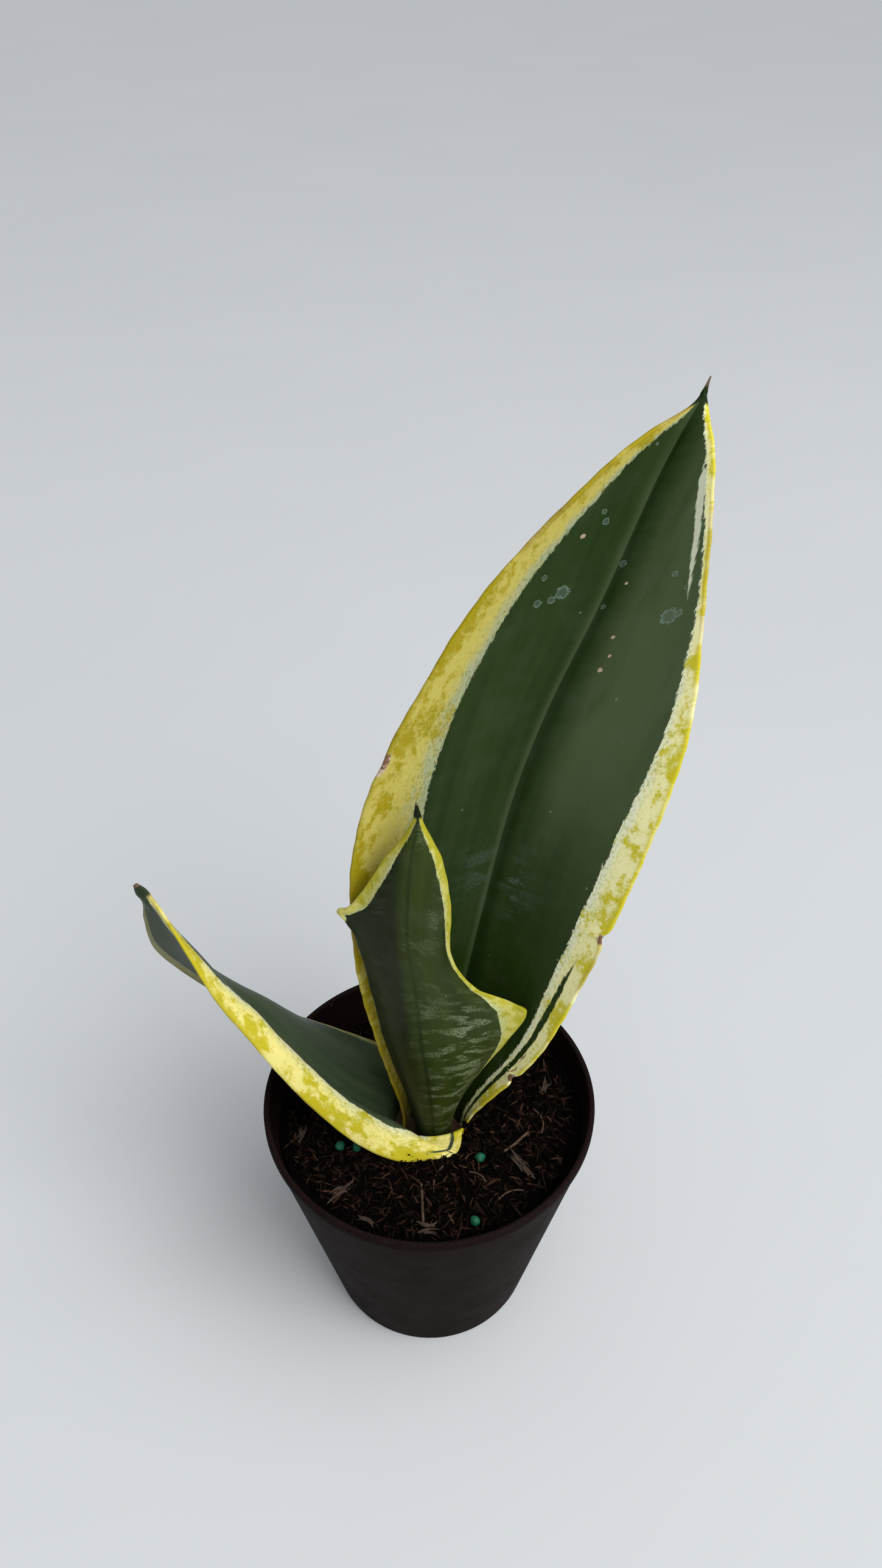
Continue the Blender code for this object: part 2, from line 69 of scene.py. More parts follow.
FLOAT = "NodeSocketFloat"
VECTOR = "NodeSocketVector"
GEOMETRY = "NodeSocketGeometry"
MIX_SHARE, MIX_A, MIX_B, MIX_RESULT = 0, 6, 7, 2


# ------------------------------------------------------------------ node helpers
class Graph:
    """Adds nodes to one node tree and wires them together."""

    def __init__(self, tree: Tree) -> None:
        """Keep the tree that the nodes go into."""
        self.tree = tree

    def feed(self, socket: Socket, value: Feed) -> None:
        """Link a socket to another one, or give it a plain value.

        Args:
            socket: The input to set.
            value: An output socket to link, a value to store, or None to leave the input alone.
        """
        if isinstance(value, Socket):
            self.tree.links.new(value, socket)
        elif value is not None:
            socket.default_value = value

    def add(self, kind: str, inputs: dict | None = None, **settings: object) -> bpy.types.Node:
        """Add a node.

        Args:
            kind: The node's type name.
            inputs: Feeds by input name or number.
            **settings: Properties of the node, set before its inputs.

        Returns:
            The new node.
        """
        node = self.tree.nodes.new(kind)
        for key, value in settings.items():
            setattr(node, key, value)
        for key, value in (inputs or {}).items():
            self.feed(node.inputs[key], value)
        return node

    def math(self, operation: str, a: Feed, b: Feed = None, clamp: bool = False) -> Socket:
        """Return the result of a Math node."""
        node = self.add("ShaderNodeMath", {0: a, 1: b}, operation=operation, use_clamp=clamp)
        return node.outputs[0]

    def times(self, a: Feed, b: Feed) -> Socket:
        """Return a product."""
        return self.math("MULTIPLY", a, b)

    def plus(self, a: Feed, b: Feed) -> Socket:
        """Return a sum."""
        return self.math("ADD", a, b)

    def minus(self, a: Feed, b: Feed) -> Socket:
        """Return a difference."""
        return self.math("SUBTRACT", a, b)

    def most(self, a: Feed, b: Feed) -> Socket:
        """Return the larger of two values."""
        return self.math("MAXIMUM", a, b)

    def ramp(self, value: Feed, slope: float, start: float) -> Socket:
        """Return a value times a slope, plus a start."""
        node = self.add("ShaderNodeMath", {0: value, 1: slope, 2: start}, operation="MULTIPLY_ADD")
        return node.outputs[0]

    def step(self, value: Feed, low: float, high: float) -> Socket:
        """Return 0 below low and 1 above high, smooth between, or the reverse if low > high.

        Args:
            value: What is compared.
            low: Where the step starts.
            high: Where it ends.

        Returns:
            The step, from 0 to 1.
        """
        ends = (low, high, 0.0, 1.0) if low < high else (high, low, 1.0, 0.0)
        names = ("From Min", "From Max", "To Min", "To Max")
        inputs = {"Value": value, **dict(zip(names, ends))}
        node = self.add("ShaderNodeMapRange", inputs, interpolation_type="SMOOTHSTEP")
        return node.outputs[0]

    def mix(self, share: Feed, a: Feed, b: Feed) -> Socket:
        """Return colour a turned into colour b by a share.

        Args:
            share: How much of b there is.
            a: The first colour.
            b: The second colour.

        Returns:
            The mixed colour.
        """
        colours = [(*c, 1.0) if isinstance(c, tuple) and len(c) == 3 else c for c in (a, b)]
        node = self.add("ShaderNodeMix", data_type="RGBA")
        for number, value in zip((MIX_SHARE, MIX_A, MIX_B), (share, *colours)):
            self.feed(node.inputs[number], value)
        return node.outputs[MIX_RESULT]

    def tint(self, colour: Feed, mask: Feed, strength: Feed, other: Feed) -> Socket:
        """Return a colour turned into another one under a mask, up to a strength."""
        return self.mix(self.times(mask, strength), colour, other)

    def scaled(self, vector: Feed, by: Point) -> Socket:
        """Return a vector multiplied by another, part by part."""
        node = self.add("ShaderNodeVectorMath", {0: vector, 1: by}, operation="MULTIPLY")
        return node.outputs[0]

    def noise(self, vector: Feed, scale: Feed, detail: float = 3.0, rough: float = 0.55) -> Socket:
        """Return a noise value, about 0.5 on average."""
        inputs = {"Vector": vector, "Scale": scale, "Detail": detail, "Roughness": rough}
        return self.add("ShaderNodeTexNoise", inputs).outputs[0]

    def drawn_out(
        self, vector: Feed, stretch: tuple[float, float], detail: float = 3.0, rough: float = 0.55,
    ) -> Socket:
        """Return noise with its own scale across a leaf and along it."""
        return self.noise(self.scaled(vector, (*stretch, 1.0)), 1.0, detail, rough)

    def group(self, tree: Tree, inputs: dict) -> Sockets:
        """Place a shader node group, feed its inputs and return its outputs."""
        return self.add("ShaderNodeGroup", inputs, node_tree=tree).outputs


def new_group(
    name: str, kind: str, inputs: Iterable[tuple], outputs: Iterable[tuple],
) -> tuple[Graph, Sockets, Sockets]:
    """Start a node group with named inputs and outputs.

    Args:
        name: The group's name.
        kind: The tree type.
        inputs: Name, socket type and, where wanted, a default value of each input.
        outputs: Name and socket type of each output.

    Returns:
        The graph to build in, what the group is given, and what it puts out.
    """
    tree = bpy.data.node_groups.new(name, kind)
    for label, socket_type, *default in inputs:
        made = tree.interface.new_socket(label, in_out="INPUT", socket_type=socket_type)
        if default:
            made.default_value = default[0]
    for label, socket_type in outputs:
        tree.interface.new_socket(label, in_out="OUTPUT", socket_type=socket_type)
    graph = Graph(tree)
    return graph, graph.add("NodeGroupInput").outputs, graph.add("NodeGroupOutput").inputs


class Effects:
    """The shader effects that several finishes share, each built once."""

    def __init__(self) -> None:
        """Build every group."""
        self.grain = self._grain()
        self.spots = self._spots()
        self.dust = self._dust()
        self.mark = self._mark()
        self.variegation = self._variegation()

    @staticmethod
    def _grain() -> Tree:
        """Return fine grain: a broad value for colour and a fine one for relief.

        Returns:
            The group.
        """
        graph, given, out = new_group(
            "fine_grain", "ShaderNodeTree",
            [("Place", VECTOR), ("Broad Scale", FLOAT, 1.0), ("Fine Scale", FLOAT, 10.0)],
            [("Broad", FLOAT), ("Fine", FLOAT)],
        )
        broad = graph.noise(given[0], given[1], 4.0)
        fine = graph.noise(given[0], given[2], 5.0, 0.6)
        graph.feed(out["Broad"], broad)
        graph.feed(out["Fine"], fine)
        return graph.tree

    @staticmethod
    def _spots() -> Tree:
        """Return scattered round marks: a filled disc and a ring for each.

        Returns:
            The group.
        """
        graph, given, out = new_group(
            "scattered_spots", "ShaderNodeTree",
            [("Place", VECTOR), ("Per Unit", FLOAT, 0.1), ("Size", FLOAT, 0.1), ("Share", FLOAT, 0.3)],
            [("Disc", FLOAT), ("Ring", FLOAT)],
        )
        cells = graph.add(
            "ShaderNodeTexVoronoi", {"Vector": given[0], "Scale": given[1]},
        )
        parts = graph.add("ShaderNodeSeparateColor", {0: cells.outputs["Color"]})
        chosen = graph.math("LESS_THAN", parts.outputs[0], given["Share"])
        own_size = graph.ramp(parts.outputs[1], 0.7, 0.5)
        reach = graph.times(own_size, given["Size"])
        near = graph.math("DIVIDE", cells.outputs["Distance"], reach)
        wobble = graph.noise(given[0], 1.7, 2.0)
        near = graph.plus(near, graph.times(wobble, 0.5))
        near = graph.minus(near, 0.25)
        disc = graph.times(graph.step(near, 1.1, 0.9), chosen)
        hole = graph.step(near, 0.55, 0.9)
        graph.feed(out["Disc"], disc)
        graph.feed(out["Ring"], graph.times(disc, hole))
        return graph.tree

    @staticmethod
    def _mark() -> Tree:
        """Return one dried drop or speck at a set place: a filled disc and a ring.

        Returns:
            The group.
        """
        graph, given, out = new_group(
            "single_mark", "ShaderNodeTree",
            [("Place", VECTOR), ("Centre", VECTOR), ("Radius", FLOAT, 1.0)],
            [("Disc", FLOAT), ("Ring", FLOAT)],
        )
        apart = graph.add(
            "ShaderNodeVectorMath", {0: given[0], 1: given[1]}, operation="DISTANCE",
        )
        near = graph.math("DIVIDE", apart.outputs["Value"], given["Radius"])
        wobble = graph.times(graph.noise(given[0], 1.6, 4.0), 1.5)
        near = graph.minus(graph.plus(near, wobble), 0.75)
        disc = graph.step(near, 1.08, 0.92)
        graph.feed(out["Disc"], disc)
        graph.feed(out["Ring"], graph.times(disc, graph.step(near, 0.62, 0.92)))
        return graph.tree

    @staticmethod
    def _dust() -> Tree:
        """Return a patchy film of dust: cloudy, and thick only here and there.

        Returns:
            The group.
        """
        graph, given, out = new_group(
            "dust_film", "ShaderNodeTree",
            [("Place", VECTOR), ("Scale", FLOAT, 1.0), ("Amount", FLOAT, 0.3)],
            [("Film", FLOAT)],
        )
        clouds = graph.noise(given[0], given["Scale"], 6.0, 0.65)
        film = graph.times(graph.step(clouds, 0.42, 0.75), given["Amount"])
        graph.feed(out["Film"], film)
        return graph.tree

    @staticmethod
    def _variegation() -> Tree:
        """Return the leaf's colours as masks: green middle, yellow mottle and pale inner line.

        Returns:
            The group.
        """
        graph, given, out = new_group(
            "variegation", "ShaderNodeTree",
            [
                ("Place", VECTOR), ("Margin", FLOAT), ("Band", FLOAT), ("Ragged", FLOAT, 1.0),
                ("Lean", FLOAT, 0.0),
            ],
            [("Green", FLOAT), ("Yellow", FLOAT), ("Pale", FLOAT), ("Speckle", FLOAT)],
        )
        place, margin, band = given[0], given[1], given[2]
        # Where the green starts, on a ragged line.
        streaks = graph.drawn_out(place, (0.9, 0.10), 4.0, 0.6)
        flecks = graph.drawn_out(place, (2.2, 0.7), 3.0, 0.6)
        shift = graph.minus(graph.plus(streaks, flecks), 1.0)
        shift = graph.times(shift, given["Ragged"])
        past = graph.plus(graph.minus(margin, band), shift)
        graph.feed(out["Green"], graph.step(past, -0.18, 0.22))
        # Yellow mottle, denser towards the rim.
        share = graph.math("DIVIDE", margin, graph.most(band, 0.1))
        broad = graph.drawn_out(place, (0.10, 0.075), 2.0)
        mottle = graph.drawn_out(place, (0.36, 0.26), 9.0, 0.78)
        lean = graph.times(graph.minus(0.42, share), 0.13)
        lean = graph.plus(lean, graph.times(graph.minus(broad, 0.5), 0.60))
        lean = graph.plus(lean, given["Lean"])
        yellow = graph.step(graph.plus(mottle, lean), 0.465, 0.60)
        rim = graph.step(graph.plus(margin, graph.times(mottle, 3.2)), 2.4, 1.3)
        rim = graph.times(rim, graph.step(broad, 0.36, 0.52))
        graph.feed(out["Yellow"], graph.most(yellow, rim))
        # A chalky line and fine green speckles next to the green.
        wave = graph.drawn_out(place, (0.5, 0.12))
        graph.feed(out["Pale"], graph.step(graph.plus(share, graph.times(wave, 0.6)), 0.86, 1.30))
        speckle = graph.drawn_out(place, (1.5, 0.8), 6.0, 0.80)
        near = graph.step(graph.plus(share, graph.minus(broad, 0.5)), 0.15, 0.95)
        graph.feed(out["Speckle"], graph.times(graph.step(speckle, 0.49, 0.60), near))
        return graph.tree


class Finish:
    """One Principled material under construction."""

    def __init__(self, name: str, roughness: float = 0.5, specular: float = 0.5) -> None:
        """Start the material with its shader's even values.

        Args:
            name: The material's name.
            roughness: Its roughness, unless a map is fed later.
            specular: Its specular level.
        """
        self.material = bpy.data.materials.new(name)
        self.material.use_nodes = True
        self.graph = Graph(self.material.node_tree)
        self.shader = self.material.node_tree.nodes["Principled BSDF"]
        self.shader.inputs["Roughness"].default_value = roughness
        self.shader.inputs["Metallic"].default_value = 0.0
        self.shader.inputs["Specular IOR Level"].default_value = specular

    def place_mm(self) -> Socket:
        """Return the object's own coordinates in millimetres."""
        own = self.graph.add("ShaderNodeTexCoord").outputs["Object"]
        return self.graph.scaled(own, (1 / MM,) * 3)

    def grained(self, effects: Effects, broad: float, fine: float) -> tuple[Graph, Socket, Sockets]:
        """Return the graph, the coordinates, and grain at two scales on them.

        Args:
            effects: The shared effects.
            broad: The broad scale per mm.
            fine: The fine scale per mm.

        Returns:
            The material's graph, the coordinates and the grain.
        """
        place = self.place_mm()
        grain = {"Place": place, "Broad Scale": broad, "Fine Scale": fine}
        return self.graph, place, self.graph.group(effects.grain, grain)

    def attribute(self, name: str, output: str = "Fac") -> Socket:
        """Return one of the mesh's own attributes."""
        return self.graph.add("ShaderNodeAttribute", attribute_name=name).outputs[output]

    def colour(self, value: Feed) -> None:
        """Feed the base colour."""
        self.graph.feed(self.shader.inputs["Base Color"], value)

    def roughness(self, value: Feed) -> None:
        """Feed the roughness."""
        self.graph.feed(self.shader.inputs["Roughness"], value)

    def relief(self, height: Feed, depth_mm: float, strength: float = 1.0) -> None:
        """Raise the surface by a height map, on top of any earlier relief.

        Args:
            height: The map, from 0 to 1.
            depth_mm: How far 0 and 1 lie apart.
            strength: How much of the effect is kept.
        """
        bump = self.graph.add("ShaderNodeBump")
        bump.inputs["Distance"].default_value = depth_mm * MM
        bump.inputs["Strength"].default_value = strength
        self.graph.feed(bump.inputs["Height"], height)
        target = self.shader.inputs["Normal"]
        if target.is_linked:
            self.graph.feed(bump.inputs["Normal"], target.links[0].from_socket)
        self.graph.feed(target, bump.outputs[0])


# ------------------------------------------------------------------ mesh helpers
def linked(name: str, data: bpy.types.ID) -> Item:
    """Return a new object in the scene.

    Args:
        name: Its name.
        data: What it holds.

    Returns:
        The object.
    """
    item = bpy.data.objects.new(name, data)
    bpy.context.scene.collection.objects.link(item)
    return item


def opened(mesh: Mesh) -> Shape:
    """Return a mesh as a shape to work on.

    Args:
        mesh: The mesh, which stays as it is.

    Returns:
        The shape.
    """
    shape = bmesh.new()
    shape.from_mesh(mesh)
    return shape


def closed(shape: Shape, mesh: Mesh | str) -> Mesh:
    """Write a shape to its mesh, or to a new one of that name, and free the shape.

    Args:
        shape: The shape.
        mesh: The mesh to write over, or the new mesh's name.

    Returns:
        The mesh.
    """
    if isinstance(mesh, str):
        mesh = bpy.data.meshes.new(mesh)
    shape.to_mesh(mesh)
    shape.free()
    return mesh


def add_piece(
    name: str, mesh: Mesh, material: Material, smooth: bool = True,
) -> Item:
    """Link a mesh as a named piece in its material.

    Args:
        name: The piece's name.
        mesh: Its mesh, in place.
        material: The material for all its faces.
        smooth: Whether its faces are shaded smooth.

    Returns:
        The new object.
    """
    mesh.materials.clear()
    mesh.materials.append(material)
    if smooth:
        mesh.shade_smooth()
    return linked(name, mesh)


def baked_mesh(item: Item, name: str) -> Mesh:
    """Return an object's evaluated shape as a plain mesh and remove the object.

    Args:
        item: The object.
        name: The new mesh's name.

    Returns:
        The plain mesh.
    """
    graph = bpy.context.evaluated_depsgraph_get()
    mesh = bpy.data.meshes.new_from_object(item.evaluated_get(graph))
    mesh.name = name
    bpy.data.objects.remove(item, do_unlink=True)
    return mesh


def settle(piece: Item, slot: str, *stands_for: str) -> None:
    """Hang a finished piece on the root body and hide the CAD nodes that it stands for.

    Args:
        piece: The finished piece.
        slot: Not used.
        *stands_for: The CAD nodes that it replaces.
    """
    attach(piece, "root")
    if stands_for:
        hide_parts(*stands_for)
    LOG.info("%s: %d faces", piece.name, len(piece.data.polygons))


def unit(vectors: np.ndarray) -> np.ndarray:
    """Return vectors at length one along the last axis."""
    return vectors / np.maximum(np.linalg.norm(vectors, axis=-1, keepdims=True), 1e-12)


def smooth_rows(rows: Sequence[Sequence[float]], steps: int) -> np.ndarray:
    """Run a Catmull-Rom curve through rows of numbers.

    Args:
        rows: The rows that the curve passes through.
        steps: How many steps each span is cut into.

    Returns:
        The rows along the curve, the given ones among them.
    """
    points = np.asarray(rows, dtype=float)
    padded = np.vstack([2 * points[0] - points[1], points, 2 * points[-1] - points[-2]])
    samples = []
    for span in range(len(points) - 1):
        before, start, end, after = padded[span:span + 4]
        for step in range(steps):
            t = step / steps
            samples.append(0.5 * (
                2 * start
                + (end - before) * t
                + (2 * before - 5 * start + 4 * end - after) * t ** 2
                + (3 * start - before - 3 * end + after) * t ** 3
            ))
    samples.append(points[-1])
    return np.array(samples)


# ------------------------------------------------------------------ leaves
class Side(Enum):
    """The two halves of a leaf, seen facing its inner side with the tip up."""

    LEFT = 0
    RIGHT = 1


@dataclass(frozen=True)
class Station:
    """One cross-section of a leaf, in millimetres from the crown.

    A bulge bows its half outwards. A band is the width of the pale margin on its half.
    """

    left: Point
    midrib: Point
    right: Point
    bulges: tuple[float, float]
    thick: float
    bands: tuple[float, float]


# Where a station's sizes lie in a row of numbers, by side where it has two.
LEFT_EDGE, MIDRIB, RIGHT_EDGE = slice(0, 3), slice(3, 6), slice(6, 9)
BULGE, THICK, BAND = 9, 11, 12


@dataclass(frozen=True)
class Scar:
    """A healed nick in a margin: its station, half length and depth in millimetres."""

    side: Side
    station: float
    half_mm: float
    depth_mm: float
    healed: bool = True


@dataclass(frozen=True)
class Streak:
    """A stripe along the leaf: (station, distance from the margin, half width) in turn."""

    side: Side
    course: tuple[tuple[float, float, float], ...]


@dataclass(frozen=True)
class Palette:
    """The colours of a leaf's pale margin."""

    yellow: Colour = (0.36, 0.285, 0.006)
    olive: Colour = (0.20, 0.185, 0.005)
    cream: Colour = (0.54, 0.46, 0.10)
    chalk: Colour = (0.36, 0.39, 0.24)
    speckle: Colour = (0.15, 0.20, 0.025)


# SHADED, which is Palette's defaults, and SUNLIT are the same margin colours with painted shade and
# painted light: the tall leaf's left band darkened, its right band lightened as if lit.
SHADED = Palette()
SUNLIT = Palette(
    yellow=(0.66, 0.58, 0.020), olive=(0.40, 0.40, 0.012), cream=(0.97, 0.93, 0.47),
    chalk=(0.86, 0.88, 0.66), speckle=(0.40, 0.46, 0.060),
)
LIME = Palette(
    yellow=(0.39, 0.36, 0.022), olive=(0.21, 0.23, 0.016), cream=(0.53, 0.50, 0.13),
    chalk=(0.50, 0.52, 0.26), speckle=(0.22, 0.27, 0.040),
)
# Painted shade: the side leaf's far margin, darkened as if lying in shade.
FAR_BAND_SHADED = Palette(
    yellow=(0.19, 0.17, 0.035), olive=(0.12, 0.12, 0.020), cream=(0.24, 0.23, 0.090),
    chalk=(0.20, 0.21, 0.11), speckle=(0.09, 0.11, 0.030),
)
BUTTER = Palette(
    yellow=(0.50, 0.43, 0.012), olive=(0.30, 0.29, 0.010), cream=(0.76, 0.68, 0.22),
    chalk=(0.66, 0.66, 0.40), speckle=(0.26, 0.32, 0.050),
)


# Painted sheen: a light grey-green laid over the tall leaf's right half in place of reflected light.
PAINTED_SHEEN = (0.067, 0.097, 0.041)
# Painted light: the lit side of the tall leaf's groove.
LIT_FOLD = (0.052, 0.078, 0.030)
PALE_STREAK = (0.58, 0.62, 0.47)
CREASE_BROWN = (0.20, 0.11, 0.05)
DRY_RIM = (0.23, 0.13, 0.05)
DRY_TIP = (0.14, 0.095, 0.06)
SCAR_DARK = (0.20, 0.10, 0.05)
SCAR_PALE = (0.62, 0.48, 0.36)
DROP_GREY = (0.20, 0.28, 0.24)
SPECK_TAN = (0.40, 0.31, 0.20)
LEAF_DUST = (0.20, 0.22, 0.19)


class LeafSkin:
    """What a leaf's mesh says, and the patterns that several steps of its finish share."""

    def __init__(self, finish: Finish, effects: Effects) -> None:
        """Read the mesh's attributes and make the patterns.

        Args:
            finish: The material under construction.
            effects: The shared effects.
        """
        self.finish = finish
        self.effects = effects
        g = self.graph = finish.graph
        self.place = finish.attribute("place", "Vector")
        self.margin = finish.attribute("margin")
        self.across, self.along, self.face = g.add("ShaderNodeSeparateXYZ", {0: self.place}).outputs
        self.flat = g.scaled(self.place, (1.0, 1.0, 0.0))
        self.right = g.step(self.across, -2.0, 2.0)
        self.lines = g.group(effects.grain, {
            "Place": g.scaled(self.flat, (1.0, 0.03, 1.0)), "Broad Scale": 0.45, "Fine Scale": 2.6,
        })
        self.clouds = g.drawn_out(self.flat, (0.07, 0.016))
        self.grit = g.noise(self.flat, 2.4, 4.0, 0.7)
        self.tint = g.drawn_out(self.flat, (0.9, 0.35), 5.0, 0.7)
        self.ragged = g.minus(g.drawn_out(self.flat, (1.6, 0.25), 4.0), 0.5)
        self.film = g.group(effects.dust, {"Place": self.flat, "Scale": 0.09, "Amount": 0.05})

    def spots(self, stretch: float, per_mm: float, size: float, share: float) -> Sockets:
        """Return spots scattered over the leaf, drawn out along it.

        Args:
            stretch: Their scale along the leaf.
            per_mm: How many cells there are per mm.
            size: Their size in cells.
            share: The share of cells that hold one.

        Returns:
            A disc and a ring for each.
        """
        return self.graph.group(self.effects.spots, {
            "Place": self.graph.scaled(self.flat, (1.0, stretch, 1.0)), "Per Unit": per_mm,
            "Size": size, "Share": share,
        })

    def mark(self, across: float, along: float, radius: float) -> Sockets:
        """Return one mark at a set place on the inner face.

        Args:
            across: Its distance from the midrib in mm.
            along: Its height along the leaf in mm.
            radius: Its radius in mm.

        Returns:
            Its disc and its ring.
        """
        return self.graph.group(self.effects.mark, {
            "Place": self.place, "Centre": (across, along, 1.0), "Radius": radius,
        })


@dataclass(frozen=True)
class LeafFinish:
    """How one leaf is coloured.

    A drop or speck is (across, along, radius) in millimetres. What starts with right_ is for the
    right half only.
    """

    name: str
    deep: Colour
    mid: Colour
    light: Colour
    bars: Colour
    cross_inner: float
    cross_outer: float
    ragged_mm: float
    mucro_mm: float
    dry_mm: float
    marks: float
    right_lean: float = 0.0
    right_painted_sheen: float = 0.0
    drops: tuple[Point, ...] = ()
    specks: tuple[Point, ...] = ()
    right_shade: float = 0.0
    groove_light_shade: float = 0.0
    lined: float = 0.8
    lean: float = 0.0
    left_band: Palette = SHADED
    right_band: Palette = SUNLIT

    def build(self, effects: Effects) -> Material:
        """Return the leaf's material.

        Args:
            effects: The shared effects.

        Returns:
            The material.
        """
        finish = Finish(self.name, roughness=0.4, specular=0.12)
        skin = LeafSkin(finish, effects)
        g = finish.graph
        masks = g.group(effects.variegation, {
            "Place": skin.flat, "Margin": skin.margin, "Band": finish.attribute("band"),
            "Ragged": self.ragged_mm, "Lean": g.plus(self.lean, g.times(skin.right, self.right_lean)),
        })
        colour = g.mix(masks["Green"], self._band(skin, masks), self._green(skin))
        colour = self._worn(skin, colour)
        drops = skin.spots(1.0, 0.06, 0.07, 0.16 * self.marks)
        colour = self._marked(skin, colour, drops)
        finish.colour(g.mix(skin.film["Film"], colour, LEAF_DUST))
        rough = g.ramp(skin.lines["Broad"], 0.16, 0.36)
        rough = g.plus(rough, g.times(masks["Green"], -0.03))
        rough = g.plus(rough, skin.film["Film"])
        finish.roughness(g.plus(rough, g.times(drops["Disc"], 0.12)))
        finish.relief(skin.lines["Fine"], 0.05, 0.6)
        finish.relief(skin.lines["Broad"], 0.14, 0.5)
        finish.relief(skin.grit, 0.05, 0.6)
        return finish.material

    def _green(self, skin: LeafSkin) -> Socket:
        """Return the green: its lines, clouds, bars, painted keel shade, stripes, painted sheen, painted
        groove light and shade, and painted shade on the right half.

        Args:
            skin: What the leaf's mesh says, with its patterns.

        Returns:
            The colour.
        """
        g, across = skin.graph, skin.across
        line = g.ramp(g.step(skin.lines["Broad"], 0.28, 0.72), self.lined, 1.0 - self.lined)
        green = g.mix(line, self.deep, self.mid)
        green = g.tint(green, g.step(skin.clouds, 0.38, 0.72), 0.55, self.light)
        green = g.tint(green, g.step(skin.grit, 0.52, 0.75), 0.30, self.light)
        green = g.mix(self._cross_bands(skin), green, self.bars)
        # Painted shade: a dark line along the midrib, where the keel's crease falls in shade.
        green = g.tint(green, g.step(g.math("ABSOLUTE", across), 0.7, 0.15), 0.6, self.deep)
        stripes = g.step(g.drawn_out(skin.flat, (0.20, 0.010), 2.0), 0.42, 0.60)
        green = g.tint(green, stripes, 0.30, self.light)
        # Painted sheen on the right half, in cloudy patches from about 80 mm up, standing in for
        # reflected light.
        painted_sheen = g.times(g.step(across, 2.0, 12.0), g.step(skin.clouds, 0.18, 0.52))
        painted_sheen = g.times(painted_sheen, g.step(skin.along, 80.0, 150.0))
        green = g.tint(green, painted_sheen, self.right_painted_sheen, PAINTED_SHEEN)
        # Painted light on a strip left of the midrib and painted shade on a strip right of it, for the
        # two sides of the groove.
        groove_light_shade = g.times(g.step(across, -3.2, -0.4), g.step(across, 0.05, -0.15))
        green = g.tint(green, groove_light_shade, self.groove_light_shade, LIT_FOLD)
        shade = g.times(g.step(across, -0.15, 0.05), g.step(across, 6.5, 0.4))
        green = g.tint(green, shade, self.groove_light_shade, self.deep)
        # Painted shade over the right half of the leaf, the side turned from the light.
        return g.tint(green, g.step(across, 0.0, 4.0), self.right_shade, self.deep)

    def _cross_bands(self, skin: LeafSkin) -> Socket:
        """Return the strength of the pale bars that run across the leaf, mostly on its back.

        Args:
            skin: What the leaf's mesh says, with its patterns.

        Returns:
            The strength, from 0 to 1.
        """
        g = skin.graph
        bars = g.drawn_out(skin.flat, (0.11, 0.30), 5.0, 0.66)
        flecks = g.drawn_out(skin.flat, (1.5, 2.4), 4.0, 0.75)
        patch = g.drawn_out(skin.flat, (0.10, 0.05), 2.0)
        bars = g.times(g.step(bars, 0.48, 0.58), g.step(flecks, 0.40, 0.60))
        outer = g.step(skin.face, 0.2, -0.2)
        amount = g.ramp(outer, self.cross_outer - self.cross_inner, self.cross_inner)
        amount = g.times(amount, g.step(patch, 0.40, 0.62))
        amount = g.plus(amount, skin.finish.attribute("bars"))
        return g.math("MULTIPLY", bars, amount, clamp=True)

    def _band(self, skin: LeafSkin, masks: Sockets) -> Socket:
        """Return the pale margin: cream, a chalky line, yellow mottle, speckles and olive.

        Args:
            skin: What the leaf's mesh says, with its patterns.
            masks: The masks of the variegation.

        Returns:
            The colour.
        """
        g = skin.graph
        tones = {
            tone.name: g.mix(
                skin.right, getattr(self.left_band, tone.name), getattr(self.right_band, tone.name),
            )
            for tone in fields(Palette)
        }
        cream = g.mix(masks["Pale"], tones["cream"], tones["chalk"])
        band = g.mix(masks["Yellow"], cream, tones["yellow"])
        band = g.tint(band, masks["Speckle"], 0.75, tones["speckle"])
        olive = g.times(g.step(skin.tint, 0.54, 0.68), masks["Yellow"])
        return g.tint(band, olive, 0.65, tones["olive"])

    def _worn(self, skin: LeafSkin, colour: Socket) -> Socket:
        """Return a colour with the streaks, the dry rim, the scars and the dry tip over it.

        Args:
            skin: What the leaf's mesh says, with its patterns.
            colour: The colour so far.

        Returns:
            The colour after that.
        """
        g, told = skin.graph, skin.finish.attribute
        for streak, loose, tone in (
            ("pale", 1.3, PALE_STREAK), ("dark", 1.3, self.mid), ("crease", 0.7, CREASE_BROWN),
        ):
            inside = g.plus(told(streak), g.times(skin.ragged, loose))
            colour = g.mix(g.step(inside, -0.15, 0.2), colour, tone)
        dry = g.times(g.step(skin.margin, 0.35, 0.05), g.step(skin.clouds, 0.50, 0.62))
        colour = g.tint(colour, dry, 0.4, DRY_RIM)
        healed = g.plus(told("scar"), g.times(skin.ragged, 0.9))
        tan = g.mix(g.step(skin.tint, 0.45, 0.55), SCAR_DARK, SCAR_PALE)
        colour = g.mix(g.step(healed, 0.40, 0.62), colour, tan)
        from_tip = told("from_tip")
        colour = g.mix(g.step(from_tip, self.mucro_mm, self.mucro_mm * 0.8), colour, self.deep)
        return g.mix(g.step(from_tip, self.dry_mm, self.dry_mm * 0.6), colour, DRY_TIP)

